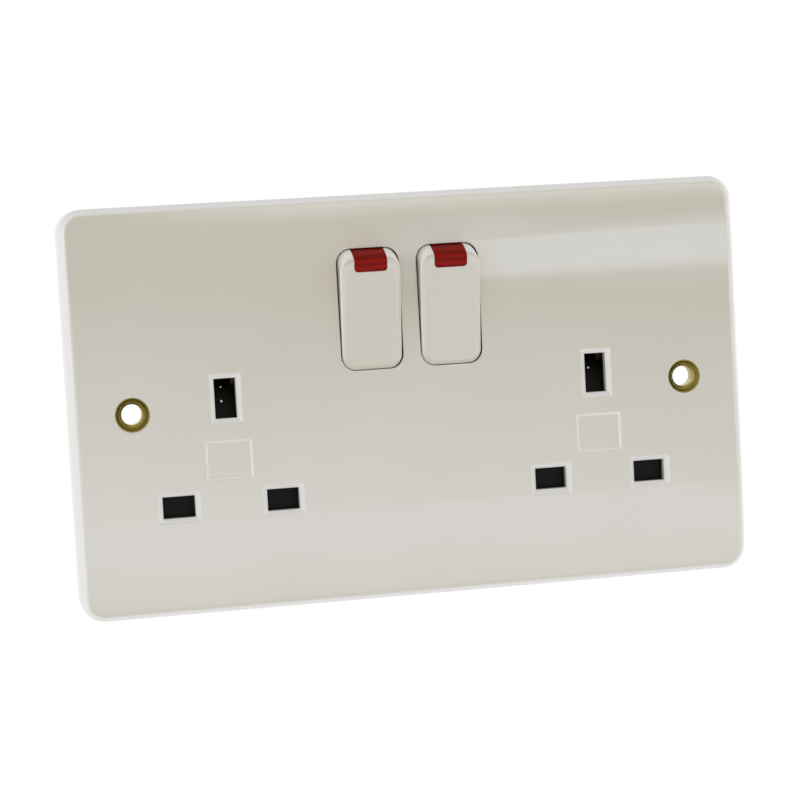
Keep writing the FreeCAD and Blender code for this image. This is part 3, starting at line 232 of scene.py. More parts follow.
# %% Bright things in the gloss
WHITE = (1.0, 1.0, 1.0, 1.0)
AHEAD = (-0.8, -0.9)
WINDOW_LIGHT = 2.7
WINDOW_COLOR = (0.8, 0.98, 1.22, 1.0)
WINDOW_SLOPE = 0.184
WINDOW_SIDE = (0.19, 0.25)
WINDOW_SILL = (-0.037, -0.01)
WINDOW_TOP = (0.137, 0.112)
CEILING_LIGHT = 2.3
CEILING_SIDE = (0.09, 0.16)
CEILING_EDGE = (0.105, 0.15)
TABLE_LIGHT = 2.8
TABLE_COLOR = (0.86, 0.98, 1.2, 1.0)
TABLE_SLOPE = 0.08
TABLE_FAR_EDGE = (-0.02, -0.125)
TABLE_NEAR_EDGE = (-0.55, -0.2)
WALL_LIGHT = 3.0
WALL_TOP_LIGHT = 0.8
WALL_FRONT_EDGE = (-0.92, -0.7)
WALL_BACK_EDGE = (-0.35, -0.6)
WALL_TOP_EDGE = (0.25, 0.6)


def leaning(slope):
    """A height that counts for more to the right, so that a limit on it slopes."""
    step = sky_tree.nodes.new("ShaderNodeMath")
    step.operation = "MULTIPLY_ADD"
    step.inputs[1].default_value = slope
    sky_tree.links.new(rightward, step.inputs[0])
    sky_tree.links.new(upward, step.inputs[2])
    return step.outputs["Value"]


ahead = ranged(sky_tree, inward, AHEAD)
window = patch(
    ahead, ranged(sky_tree, rightward, WINDOW_SIDE), ranged(sky_tree, upward, WINDOW_SILL),
    ranged(sky_tree, leaning(WINDOW_SLOPE), WINDOW_TOP, (0.0, WINDOW_LIGHT)))
ceiling = patch(
    ahead, ranged(sky_tree, rightward, CEILING_SIDE),
    ranged(sky_tree, upward, CEILING_EDGE, (0.0, CEILING_LIGHT)))
table = patch(
    ahead, ranged(sky_tree, leaning(TABLE_SLOPE), TABLE_FAR_EDGE),
    ranged(sky_tree, upward, TABLE_NEAR_EDGE, (0.0, TABLE_LIGHT)))
walls = patch(
    ranged(sky_tree, inward, WALL_FRONT_EDGE), ranged(sky_tree, inward, WALL_BACK_EDGE),
    ranged(sky_tree, upward, WALL_TOP_EDGE, (WALL_LIGHT, WALL_TOP_LIGHT)))
plain = sky_light(WHITE)
gloss = summed(
    plain, sky_light(WINDOW_COLOR, window), sky_light(WHITE, ceiling), sky_light(TABLE_COLOR, table),
    sky_light(TENT_COLOR, walls))
print("strength of window, ceiling, table and walls:", WINDOW_LIGHT, CEILING_LIGHT, TABLE_LIGHT, WALL_LIGHT)

# %% [markdown]
# The picture has a plain white ground. More light would whiten a grey sky, but it would also bleach the
# face. So each ray is asked what it is: the camera and glass see plain white, gloss sees white with the
# bright things in it, and all other light comes from the soft tent.

# %% What each ray sees

def rays(tree, *kinds):
    """One for rays of these kinds, zero for others."""
    path = tree.nodes.new("ShaderNodeLightPath")
    return joined_by(tree, "MAXIMUM", *(path.outputs[kind] for kind in kinds))


def chosen(tree, factor, first, second):
    """The second shader where the factor is one, the first elsewhere."""
    mix = tree.nodes.new("ShaderNodeMixShader")
    tree.links.new(factor, mix.inputs["Fac"])
    tree.links.new(first, mix.inputs[1])
    tree.links.new(second, mix.inputs[2])
    return mix.outputs["Shader"]


unseen = chosen(sky_tree, rays(sky_tree, "Is Glossy Ray"), soft, gloss)
ground = chosen(sky_tree, rays(sky_tree, "Is Camera Ray", "Is Transmission Ray"), unseen, plain)
output = sky_tree.nodes.new("ShaderNodeOutputWorld")
sky_tree.links.new(ground, output.inputs["Surface"])
bpy.context.scene.view_settings.view_transform = "Standard"
print("nodes in the sky:", len(sky_tree.nodes))

# %% [markdown]
# The socket hangs on a wall and stands on nothing. A wall behind it would hide its back in other views,
# so there is only a pale floor, well below it. It is plain white to the eye and to gloss, so that it
# leaves no mark in the picture.

# %% Floor
FLOOR_DROP = 0.6
FLOOR_SIZE = 1.6
FLOOR_COLOR = (0.9, 0.9, 0.9, 1.0)
FLOOR_ROUGHNESS = 0.9


def clear_selection():
    bpy.ops.object.select_all(action="DESELECT")


def make_floor():
    clear_selection()
    bpy.ops.mesh.primitive_plane_add(size=FLOOR_SIZE, location=(0, 0, cad_box[0][2] - FLOOR_DROP))
    floor = bpy.context.object
    floor.name = "floor"
    paper = bpy.data.materials.new("floor_paper")
    paper.use_nodes = True
    tree = paper.node_tree
    shader = tree.nodes["Principled BSDF"]
    shader.inputs["Base Color"].default_value = FLOOR_COLOR
    shader.inputs["Roughness"].default_value = FLOOR_ROUGHNESS
    glow = tree.nodes.new("ShaderNodeEmission")
    seen = rays(tree, "Is Camera Ray", "Is Transmission Ray", "Is Glossy Ray")
    surface = chosen(tree, seen, shader.outputs["BSDF"], glow.outputs["Emission"])
    tree.links.new(surface, tree.nodes["Material Output"].inputs["Surface"])
    floor.data.materials.append(paper)
    return floor


floor = make_floor()
print("floor at a height in metres of:", round(floor.location.z, 3))

# %% [markdown]
# The frame's pieces come as loose triangles, so a rounded rim would show its facets. A finer mesh would
# cost many triangles. Welding the corners together and splitting only the sharp edges lets the light
# run smoothly over every radius, and weighting the normals by area keeps the large flats flat. All
# three are modifiers, so the piece's own mesh stays as it is.

# %% Smooth shading on the frame's pieces
WELD_DISTANCE = 0.002 * MM
SHARP_ANGLE = math.radians(32)


def smooth_frame_piece(piece):
    piece.data.shade_smooth()
    weld = piece.modifiers.new("weld", "WELD")
    weld.merge_threshold = WELD_DISTANCE
    split = piece.modifiers.new("split", "EDGE_SPLIT")
    split.split_angle = SHARP_ANGLE
    split.use_edge_sharp = False
    weighted = piece.modifiers.new("weighted", "WEIGHTED_NORMAL")
    weighted.keep_sharp = True


for piece in nodes.values():
    smooth_frame_piece(piece)
print("smoothed:", len(nodes))

# %% [markdown]
# The plate and the rockers are moulded in a hard white thermoset that has a warm cast and a clean
# gloss. Every finish is one principled shader with its constants set on the sockets. One flat colour
# would look like paper, and an image would have to be carried along, so the tone drifts slowly with a
# noise. The noise reads object coordinates, and so it stays fixed to the piece when it moves.

# %% White mouldings
PLATE_TONES = ((0.655, 0.612, 0.518), (0.675, 0.632, 0.54))
# The rockers' tones are a shade darker than the plate's. This is painted shade for the extra light that
# their tilted faces catch from below.
ROCKER_SHADED_TONES = ((0.612, 0.575, 0.465), (0.632, 0.595, 0.485))
MOULDING_ROUGHNESS = 0.035
MOULDING_IOR = 1.55
MOULDING_CELLS = 40.0
MOULDING_DETAIL = 1.0
FINE_DETAIL = 3.0
DRIFT_SPAN = (0.3, 0.7)


def new_finish(name, color, roughness, **settings):
    finish = bpy.data.materials.new(name)
    finish.use_nodes = True
    shader = finish.node_tree.nodes["Principled BSDF"]
    shader.inputs["Base Color"].default_value = (*color, 1.0)
    shader.inputs["Roughness"].default_value = roughness
    for socket, value in settings.items():
        shader.inputs[socket.replace("_", " ")].default_value = value
    return finish


def object_noise(tree, cells, detail):
    """Noise on object coordinates, with so many cells to the metre."""
    where = tree.nodes.new("ShaderNodeTexCoord")
    noise = tree.nodes.new("ShaderNodeTexNoise")
    noise.inputs["Scale"].default_value = cells
    noise.inputs["Detail"].default_value = detail
    tree.links.new(where.outputs["Object"], noise.inputs["Vector"])
    return noise.outputs["Fac"]


def color_by(finish, value, dark, light):
    """Leads the base colour from one tone to another with a value."""
    tree = finish.node_tree
    ramp = tree.nodes.new("ShaderNodeValToRGB")
    for tone, place, color in zip(ramp.color_ramp.elements, DRIFT_SPAN, (dark, light)):
        tone.position = place
        tone.color = (*color, 1.0)
    tree.links.new(value, ramp.inputs["Fac"])
    tree.links.new(ramp.outputs["Color"], tree.nodes["Principled BSDF"].inputs["Base Color"])


def drift_color(finish, cells, dark, light, detail=FINE_DETAIL):
    """Lets the base colour drift between two near tones."""
    color_by(finish, object_noise(finish.node_tree, cells, detail), dark, light)


def white_moulding(name, tones):
    dark, light = tones
    finish = new_finish(name, light, MOULDING_ROUGHNESS, IOR=MOULDING_IOR)
    drift_color(finish, MOULDING_CELLS, dark, light, MOULDING_DETAIL)
    return finish


plate_white = white_moulding("plate_white", PLATE_TONES)
rocker_white = white_moulding("rocker_white", ROCKER_SHADED_TONES)
print("white finishes:", plate_white.name, rocker_white.name)

# %% [markdown]
# An edge of a real moulding is slightly rounded. It catches light from two sides, looks paler than the
# flats and has no hard line.
# Fillets on every slot would need a much finer mesh. A Bevel node rounds only the shading. Its rounded
# normal also leads the colour, and the light those edges would catch is painted in: a painted highlight,
# paler where the surface turns from the front towards the side, and back to the plain tone on the side
# walls.

# %% Painted highlights on soft edges
# The pale edge colours are painted highlights.
PLATE_EDGE_HIGHLIGHT = (0.9, 0.89, 0.86)
PLATE_HIGHLIGHT_SPAN = (0.985, 0.82)
ROCKER_EDGE_HIGHLIGHT = (0.95, 0.94, 0.9)
ROCKER_HIGHLIGHT_SPAN = (0.85, 0.5)
SIDE_SPAN = (0.1, 0.4)
EDGE_SOFTNESS = 0.35 * MM
EDGE_SAMPLES = 6


def soften_edges(finish):
    """Rounds the shading of the edges, and gives the rounded normal in the piece's own directions."""
    tree = finish.node_tree
    rounding = tree.nodes.new("ShaderNodeBevel")
    rounding.samples = EDGE_SAMPLES
    rounding.inputs["Radius"].default_value = EDGE_SOFTNESS
    tree.links.new(rounding.outputs["Normal"], tree.nodes["Principled BSDF"].inputs["Normal"])
    own_normal = tree.nodes.new("ShaderNodeVectorTransform")
    own_normal.vector_type = "NORMAL"
    own_normal.convert_from = "WORLD"
    own_normal.convert_to = "OBJECT"
    tree.links.new(rounding.outputs["Normal"], own_normal.inputs["Vector"])
    return own_normal.outputs["Vector"]


def paint_edge_highlight(finish, normal, highlight_color, span):
    """Paints a highlight: the colour turns paler where the surface turns from the front to the side."""
    tree = finish.node_tree
    base = tree.nodes["Principled BSDF"].inputs["Base Color"]
    flat_color = base.links[0].from_socket
    parts = tree.nodes.new("ShaderNodeSeparateXYZ")
    tree.links.new(normal, parts.inputs["Vector"])
    facing = tree.nodes.new("ShaderNodeMath")
    facing.operation = "ABSOLUTE"
    tree.links.new(parts.outputs["Y"], facing.inputs[0])
    share = joined_by(
        tree, "MULTIPLY", ranged(tree, facing.outputs["Value"], span),
        ranged(tree, facing.outputs["Value"], SIDE_SPAN))
    mix = tree.nodes.new("ShaderNodeMixRGB")
    mix.inputs["Color2"].default_value = (*highlight_color, 1.0)
    tree.links.new(share, mix.inputs["Fac"])
    tree.links.new(flat_color, mix.inputs["Color1"])
    tree.links.new(mix.outputs["Color"], base)


def paint(finish, *names):
    for name in names:
        piece = nodes[name]
        piece.data.materials.clear()
        piece.data.materials.append(finish)
    print(finish.name, "on:", *names)


def each_side(*stems):
    return [stem + "_" + side for stem in stems for side in SIDES]


# The paler edges of the plate and the rockers are painted highlights.
paint_edge_highlight(plate_white, soften_edges(plate_white), PLATE_EDGE_HIGHLIGHT, PLATE_HIGHLIGHT_SPAN)
paint_edge_highlight(rocker_white, soften_edges(rocker_white), ROCKER_EDGE_HIGHLIGHT, ROCKER_HIGHLIGHT_SPAN)
paint(plate_white, "front_plate")
paint(rocker_white, *each_side("rocker"))

# %% [markdown]
# Each lens is a small red window in tinted plastic, with level ribs inside that spread the lamp's light.
# Real glass would show the
# dark, empty rocker behind it. Light that enters leaves again as deep red, so a saturated base is closer.
# The ribs are not modelled:
# their light and shade is painted into that base in two tones, led by a wave texture with the ribs' pitch.

# %% Red lenses
# Painted light and shade: the two reds of the unmodelled ribs.
LENS_SHADED_RED = (0.19, 0.004, 0.002)
LENS_LIT_RED = (0.275, 0.008, 0.003)
RIB_PITCH = 1.5 * MM
RIB_UNEVENNESS = 2.0
RIB_DETAIL = 1.0
RIB_DETAIL_SCALE = 0.6
WAVE_RADIANS = 20


def paint_rib_light_and_shade(finish, pitch, dark, light):
    """Painted light and shade of level ribs in two near tones, a little uneven, at so many metres from one
    to the next.
    """
    tree = finish.node_tree
    where = tree.nodes.new("ShaderNodeTexCoord")
    ribs = tree.nodes.new("ShaderNodeTexWave")
    ribs.bands_direction = "Z"
    ribs.inputs["Scale"].default_value = math.tau / (WAVE_RADIANS * pitch)
    ribs.inputs["Distortion"].default_value = RIB_UNEVENNESS
    ribs.inputs["Detail"].default_value = RIB_DETAIL
    ribs.inputs["Detail Scale"].default_value = RIB_DETAIL_SCALE
    tree.links.new(where.outputs["Object"], ribs.inputs["Vector"])
    color_by(finish, ribs.outputs["Fac"], dark, light)


lens_red = new_finish("lens_red", LENS_LIT_RED, roughness=0.25, Specular_IOR_Level=0.05)
paint_rib_light_and_shade(lens_red, RIB_PITCH, LENS_SHADED_RED, LENS_LIT_RED)
paint(lens_red, *each_side("neon_lens"))

# %% [markdown]
# The two bushes in the face are turned from brass. They are bright by the bore, partly polish where screws
# rub and partly a painted highlight for the glints there, and tarnished to olive towards the rim. Two
# finishes with a hard line between them would look painted. One ramp of four tones over the distance from
# the bush's axis passes smoothly from the one to the other. The distance is measured on mirrored
# coordinates, so that both bushes share the finish.

# %% Turned brass
BORE_RADIUS = 2.2 * MM
RIM_RADIUS = 3.7 * MM
# The bright first tone by the bore is partly polish and partly a painted highlight.
BUSH_TONES = (
    (0.0, (0.62, 0.52, 0.24)),
    (0.32, (0.3, 0.25, 0.06)),
    (0.55, (0.195, 0.156, 0.036)),
    (1.0, (0.138, 0.11, 0.028)))


def drift_roughness(finish, cells, low, high):
    """Lets the roughness drift between two limits."""
    tree = finish.node_tree
    drift = ranged(tree, object_noise(tree, cells, FINE_DETAIL), DRIFT_SPAN, (low, high))
    tree.links.new(drift, tree.nodes["Principled BSDF"].inputs["Roughness"])


def bush_radius(tree):
    """The distance from the axis of the nearer bush."""
    where = tree.nodes.new("ShaderNodeTexCoord")
    mirrored = tree.nodes.new("ShaderNodeVectorMath")
    mirrored.operation = "ABSOLUTE"
    tree.links.new(where.outputs["Object"], mirrored.inputs[0])
    centred = tree.nodes.new("ShaderNodeMapping")
    centred.inputs["Location"].default_value = (-middle("fixing_bush_right").x, 0, 0)
    centred.inputs["Scale"].default_value = (1, 0, 1)
    tree.links.new(mirrored.outputs["Vector"], centred.inputs["Vector"])
    radius = tree.nodes.new("ShaderNodeVectorMath")
    radius.operation = "LENGTH"
    tree.links.new(centred.outputs["Vector"], radius.inputs[0])
    return radius.outputs["Value"]


def polish_and_highlight_bore(finish):
    tree = finish.node_tree
    ramp = tree.nodes.new("ShaderNodeValToRGB")
    tones = ramp.color_ramp.elements
    for place, color in BUSH_TONES[1:-1]:
        tones.new(place).color = (*color, 1.0)
    tones[0].color = (*BUSH_TONES[0][1], 1.0)
    tones[-1].color = (*BUSH_TONES[-1][1], 1.0)
    tree.links.new(ranged(tree, bush_radius(tree), (BORE_RADIUS, RIM_RADIUS)), ramp.inputs["Fac"])
    tree.links.new(ramp.outputs["Color"], tree.nodes["Principled BSDF"].inputs["Base Color"])


turned_brass = new_finish("turned_brass", color=(0.17, 0.14, 0.025), roughness=0.3, Metallic=1.0)
drift_roughness(turned_brass, cells=1500.0, low=0.22, high=0.4)
polish_and_highlight_bore(turned_brass)
paint(turned_brass, *each_side("fixing_bush"))

# %% [markdown]
# Behind the plate brass comes in three more kinds: bright where it is pressed into bars and clips that
# carry current, paler on the terminals and their screws, and darkened nearly to black on the earth strap,
# which is painted shade. One brass for all would be simpler. But the strap lies behind the earth slots,
# which are dark in the photograph.

# %% Brass inside
# Painted shade: the strap's brass is darkened nearly to black.
shade_darkened_brass = new_finish("shade_darkened_brass", color=(0.06, 0.04, 0.014), roughness=0.5, Metallic=1.0)
drift_color(shade_darkened_brass, cells=250.0, dark=(0.045, 0.03, 0.01), light=(0.08, 0.054, 0.018))
pressed_brass = new_finish("pressed_brass", color=(0.6, 0.42, 0.15), roughness=0.34, Metallic=1.0)
drift_color(pressed_brass, cells=250.0, dark=(0.52, 0.35, 0.11), light=(0.66, 0.47, 0.18))
drift_roughness(pressed_brass, cells=900.0, low=0.26, high=0.42)
screw_brass = new_finish("screw_brass", color=(0.62, 0.46, 0.2), roughness=0.3, Metallic=1.0)
drift_roughness(screw_brass, cells=1500.0, low=0.24, high=0.4)
paint(screw_brass, "line_terminal", "neutral_terminal", "earth_terminal", "terminal_screws")
paint(shade_darkened_brass, "earth_strap")
paint(pressed_brass, "neutral_bar", "line_bar", *each_side("line_contact", "switch_contact"))

# %% [markdown]
# The hidden plastics are dark: a charcoal housing with a spark-eroded texture, and smooth black
# shutters that make the slots look empty. The texture could be modelled, but it is a fiftieth of a
# millimetre deep, so a bump of a given height in metres is enough.

# %% Dark plastics
RELIEF_DETAIL = 2.0


def add_relief(finish, cells, height):
    """Fine relief of a given height in metres."""
    tree = finish.node_tree
    bump = tree.nodes.new("ShaderNodeBump")
    bump.inputs["Distance"].default_value = height
    tree.links.new(object_noise(tree, cells, RELIEF_DETAIL), bump.inputs["Height"])
    tree.links.new(bump.outputs["Normal"], tree.nodes["Principled BSDF"].inputs["Normal"])


housing_dark = new_finish("housing_dark", color=(0.03, 0.031, 0.033), roughness=0.5)
drift_color(housing_dark, cells=120.0, dark=(0.027, 0.028, 0.03), light=(0.036, 0.037, 0.039))
add_relief(housing_dark, cells=3500.0, height=0.02 * MM)
shutter_black = new_finish(
    "shutter_black", color=(0.003, 0.003, 0.002), roughness=0.5, Specular_IOR_Level=0.06)
add_relief(shutter_black, cells=1200.0, height=0.004 * MM)
paint(housing_dark, "rear_housing")
paint(shutter_black, *each_side("shutter", "rocker_plunger"))

# %% [markdown]
# What is left is small and lies behind the plate: zinc on the housing screws, spring wire, silver
# contact faces, glass, tinned copper and the resistors' tan. Each could have its own drift of tone and
# roughness. Only the zinc, which shows from behind, has one, and the others are plain. The last line
# measures whether any piece was forgotten.

# %% Small parts
zinc = new_finish("zinc", color=(0.55, 0.56, 0.58), roughness=0.3, Metallic=1.0)
drift_roughness(zinc, cells=1200.0, low=0.24, high=0.4)
spring_wire = new_finish("spring_wire", color=(0.42, 0.43, 0.45), roughness=0.3, Metallic=1.0)
silver = new_finish("silver", color=(0.8, 0.79, 0.76), roughness=0.25, Metallic=1.0)
tinned = new_finish("tinned", color=(0.62, 0.62, 0.6), roughness=0.35, Metallic=1.0)
lamp_glass = new_finish(
    "lamp_glass", color=(0.95, 0.9, 0.85), roughness=0.03, Transmission_Weight=0.9, IOR=1.5)
resistor_tan = new_finish("resistor_tan", color=(0.45, 0.31, 0.16), roughness=0.45)
paint(zinc, "housing_screws")
paint(spring_wire, *each_side("shutter_spring", "rocker_spring"))
paint(silver, *each_side("moving_rivet", "fixed_rivet"))
paint(tinned, *each_side("lamp_neutral_lead", "lamp_resistor_lead", "resistor_line_lead"))
paint(lamp_glass, *each_side("neon_lamp"))
paint(resistor_tan, *each_side("neon_resistor"))
print("pieces without a finish:", [name for name, piece in nodes.items() if not piece.data.materials])

# %% [markdown]
# The small wound and turned parts are plain stand-ins in the frame. A mesh could be written corner by
# corner. Here each part is modelled as by hand, once, standing on the Z axis at the origin, then copied
# and carried to its place, which is read from its stand-in. These helpers are the bench: they pick a
# piece up, settle its place into its mesh, carry a copy, put a model away, join several pieces to one,
# and dress the finished piece.

# %% Helpers for modelling

def work_on(piece):
    clear_selection()
    piece.select_set(True)
    bpy.context.view_layer.objects.active = piece


def settle():
    """Puts place, turn and scale of the selected pieces into their meshes."""
    bpy.ops.object.transform_apply(location=True, rotation=True, scale=True)


def carry(model, place, turn=(0, 0, 0)):
    """A copy of the model with a mesh of its own, turned and carried to its place."""
    work_on(model)
    bpy.ops.object.duplicate(linked=False)
    copy = bpy.context.object
    copy.rotation_euler = turn
    copy.location = place
    settle()
    return copy


def put_away(model):
    bpy.data.objects.remove(model)


def joined(*pieces):
    clear_selection()
    for piece in pieces:
        piece.select_set(True)
    bpy.context.view_layer.objects.active = pieces[0]
    bpy.ops.object.join()
    return pieces[0]


def dress(piece, name, finish, body, slot, *stand_ins, sharp=SHARP_ANGLE):
    """Names a finished piece, gives it its finish and ties it to its body and what it stands for. The
    argument slot is not used.
    """
    piece.name = name
    piece.data.materials.clear()
    piece.data.materials.append(finish)
    work_on(piece)
    bpy.ops.object.shade_smooth_by_angle(angle=sharp)
    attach(piece, body)
    if stand_ins:
        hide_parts(*stand_ins)
    print(name, "faces:", len(piece.data.polygons))


for name in ("shutter_spring_right", "rocker_spring_right", "neon_lamp_right", "neon_resistor_right"):
    print(name, "in millimetres:", size_in_mm(name))

# %% [markdown]
# A coil spring is a round wire led up a screw line. It could be a bevelled curve, but its ends would be
# cut across the wire. Here a small circle is the wire's section, and a Screw modifier winds it. The
# coil starts a wire's width too low and ends as much too high, and both ends are then ground flat, as
# on a real compression spring.

# %% Wind a coil
CLOSE = 0.001 * MM
WIRE = 0.4 * MM
WIRE_SIDES = 10
WIRE_STEPS = 20
SHUTTER_COIL_RADIUS = 1.3 * MM
SHUTTER_COIL_TURNS = 7
DOWN = -1
UP = 1


def wind(pitch, turns, steps):
    """Winds the active outline up the Z axis."""
    winding = bpy.context.object.modifiers.new("winding", "SCREW")
    winding.angle = math.tau
    winding.screw_offset = pitch
    winding.iterations = turns
    winding.steps = steps
    winding.render_steps = steps
    bpy.ops.object.modifier_apply(modifier="winding")
    bpy.ops.object.mode_set(mode="EDIT")
    bpy.ops.mesh.select_all(action="SELECT")
    bpy.ops.mesh.remove_doubles(threshold=CLOSE)
    bpy.ops.mesh.normals_make_consistent(inside=False)
    bpy.ops.object.mode_set(mode="OBJECT")


def grind(height, direction):
    """Cuts off all that lies beyond a height, and closes the cut."""
    bpy.ops.object.mode_set(mode="EDIT")
    bpy.ops.mesh.select_all(action="SELECT")
    bpy.ops.mesh.bisect(
        plane_co=(0, 0, height), plane_no=(0, 0, direction), use_fill=True, clear_outer=True,
        threshold=CLOSE)
    bpy.ops.object.mode_set(mode="OBJECT")


def coil_spring(radius, length, turns):
    """A ground coil on the Z axis, from zero up to its length."""
    clear_selection()
    bpy.ops.mesh.primitive_circle_add(
        vertices=WIRE_SIDES, radius=WIRE / 2, location=(radius - WIRE / 2, 0, -WIRE),
        rotation=(math.pi / 2, 0, 0))
    coil = bpy.context.object
    settle()
    wind((length + 2 * WIRE) / turns, turns, WIRE_STEPS)
    grind(0, DOWN)
    grind(length, UP)
    print("coil length in millimetres:", round(coil.dimensions.z / MM, 2))
    return coil


low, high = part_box("shutter_spring_right")
shutter_coil_length = high.z - low.z
coil = coil_spring(SHUTTER_COIL_RADIUS, shutter_coil_length, SHUTTER_COIL_TURNS)

# %% [markdown]
# The shutter's spring stands on a peg and pushes the shutter up. As the shutter goes down, the coil has
# to shorten towards its foot. It could be cut into rings that ride on different bodies. Here it is one
# wire with a mesh of its own, tied to the socket.

# %% Shutter springs
WIRE_SHARP = math.radians(60)


for side in SIDES:
    stand_in = "shutter_spring_" + side
    foot = middle(stand_in) - Vector((0, 0, shutter_coil_length / 2))
    spring = carry(coil, foot)
    dress(spring, "shutter_coil_" + side, spring_wire, "socket", "spring_steel", stand_in, sharp=WIRE_SHARP)
    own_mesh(spring)
put_away(coil)

# %% [markdown]
# The rocker's spring sits in its stem and pushes the plunger. It tips with the rocker and keeps its
# length, so it rides along without a squash. It could be wound about the tipped axis. Wound upright and
# then turned about its middle, it can use the same helper.

# %% Rocker springs
ROCKER_COIL_RADIUS = 1.75 * MM
ROCKER_COIL_LENGTH = 3.4 * MM
ROCKER_COIL_TURNS = 5
ROCKER_COIL_LEAN = (math.radians(-81), 0, 0)

coil = coil_spring(ROCKER_COIL_RADIUS, ROCKER_COIL_LENGTH, ROCKER_COIL_TURNS)
coil.location.z = -ROCKER_COIL_LENGTH / 2
work_on(coil)
settle()
for side in SIDES:
    stand_in = "rocker_spring_" + side
    spring = carry(coil, middle(stand_in), ROCKER_COIL_LEAN)
    dress(
        spring, "rocker_coil_" + side, spring_wire, "rocker_" + side, "spring_steel", stand_in,
        sharp=WIRE_SHARP)
put_away(coil)

# %% [markdown]
# A terminal screw clamps a wire in its block. A thread could be a bump on a cylinder, but a bump has no
# outline. Here a tooth is led up a screw line. A circle of three corners is the tooth: it is stretched
# to the thread's depth and pitch, its inner side is deleted, the two flanks are wound, and the ends are
# ground square.

# %% A thread
THREAD_STEPS = 24
EXTRA_TURNS = 2
TRIANGLE_HEIGHT = 1.5
TRIANGLE_SIDE = math.sqrt(3)
TOOTH_OUTWARD = (-math.pi / 2, -math.pi / 2, 0)
TERMINAL_HEAD = 2.2 * MM
TERMINAL_SHANK_RADIUS = 2.0 * MM
TERMINAL_TOOTH = 0.45 * MM
TERMINAL_PITCH = 0.7 * MM
SHANK_LAP = 0.2 * MM


def pick_edges(piece, wanted):
    """Enters edit mode with just those edges selected whose two ends are wanted."""
    bpy.ops.object.mode_set(mode="EDIT")
    bpy.ops.mesh.select_mode(type="EDGE")
    bpy.ops.mesh.select_all(action="DESELECT")
    bpy.ops.object.mode_set(mode="OBJECT")
    corners = piece.data.vertices
    for edge in piece.data.edges:
        edge.select = all(wanted(corners[index].co) for index in edge.vertices)
    bpy.ops.object.mode_set(mode="EDIT")


def threaded_shank(radius, tooth, pitch, low, high):
    """A screw thread on the Z axis between two heights, with its crests at the radius."""
    clear_selection()
    bpy.ops.mesh.primitive_circle_add(vertices=3, radius=1, rotation=TOOTH_OUTWARD)
    shank = bpy.context.object
    settle()
    bpy.ops.transform.resize(value=(tooth / TRIANGLE_HEIGHT, 1, pitch / TRIANGLE_SIDE))
    settle()
    crest = max(corner.co.x for corner in shank.data.vertices)
    shank.location = (radius - crest, 0, low - pitch)
    settle()
    pick_edges(shank, lambda corner: corner.x < radius - tooth / 2)
    bpy.ops.mesh.delete(type="EDGE")
    bpy.ops.object.mode_set(mode="OBJECT")
    wind(pitch, math.ceil((high - low) / pitch) + EXTRA_TURNS, THREAD_STEPS)
    grind(low, DOWN)
    grind(high, UP)
    print("shank length in millimetres:", round(shank.dimensions.z / MM, 2))
    return shank


low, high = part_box("terminal_screws")
seat = high.y - TERMINAL_HEAD
shank = threaded_shank(TERMINAL_SHANK_RADIUS, TERMINAL_TOOTH, TERMINAL_PITCH, low.y - seat, SHANK_LAP)

# %% [markdown]
# The head of a screw is a short cylinder with a rounded rim, and what the driver enters is taken out of
# it. The slot could be left between two half heads, but taking a block out with a Boolean is closer to
# how it is milled.

# %% A slotted head
HEAD_SIDES = 40
TERMINAL_HEAD_RADIUS = 3.2 * MM
TERMINAL_RIM = 0.35 * MM
TERMINAL_RIM_STEPS = 3
TERMINAL_SLOT = 0.9 * MM
TERMINAL_SLOT_LENGTH = TERMINAL_HEAD_RADIUS * 3
TERMINAL_SLOT_DEPTH = 1.1 * MM


def round_rim(piece, wanted, offset, segments):
    pick_edges(piece, wanted)
    bpy.ops.mesh.bevel(offset=offset, segments=segments, affect="EDGES")
    bpy.ops.object.mode_set(mode="OBJECT")


def screw_head(radius, height, rim, segments):
    """A head with a rounded rim, standing on the origin."""
    clear_selection()
    bpy.ops.mesh.primitive_cylinder_add(
        vertices=HEAD_SIDES, radius=radius, depth=height, location=(0, 0, height / 2))
    head = bpy.context.object
    settle()
    round_rim(head, lambda corner: corner.z > height / 2, rim, segments)
    print("head width in millimetres:", round(head.dimensions.x / MM, 2))
    return head


def block(width, length, low, high):
    """A block on the Z axis between two heights."""
    clear_selection()
    bpy.ops.mesh.primitive_cube_add(size=1, location=(0, 0, (low + high) / 2))
    piece = bpy.context.object
    piece.scale = (width, length, high - low)
    settle()
    return piece


def cut_out(piece, cutter):
    """Takes the cutter's shape out of the piece and puts the cutter away."""
    cut = piece.modifiers.new("cut", "BOOLEAN")
    cut.operation = "DIFFERENCE"
    cut.solver = "EXACT"
    cut.object = cutter
    work_on(piece)
    bpy.ops.object.modifier_apply(modifier="cut")
    put_away(cutter)


head = screw_head(TERMINAL_HEAD_RADIUS, TERMINAL_HEAD, TERMINAL_RIM, TERMINAL_RIM_STEPS)
slot_floor = TERMINAL_HEAD - TERMINAL_SLOT_DEPTH
cut_out(head, block(TERMINAL_SLOT, TERMINAL_SLOT_LENGTH, slot_floor, TERMINAL_HEAD * 2))

# %% [markdown]
# Three slotted brass screws stand in the terminal bay, each driven home to its own angle. They could be
# three pieces, but they are one group in the frame, so the copies are joined to one piece that stands
# for it.

# %% Terminal screws
TERMINALS = ("neutral_terminal", "earth_terminal", "line_terminal")
TERMINAL_SCREW_TURNS = (0.35, -0.6, 1.1)
TURN_TO_BACK = (-math.pi / 2, 0, 0)
ORIGIN = (0, 0, 0)


def drive(screw, turn, place):
    """A copy of the screw, turned about its axis and stood in its place with the head to the back."""
    turned = carry(screw, ORIGIN, (0, 0, turn))
    driven = carry(turned, place, TURN_TO_BACK)
    put_away(turned)
    return driven


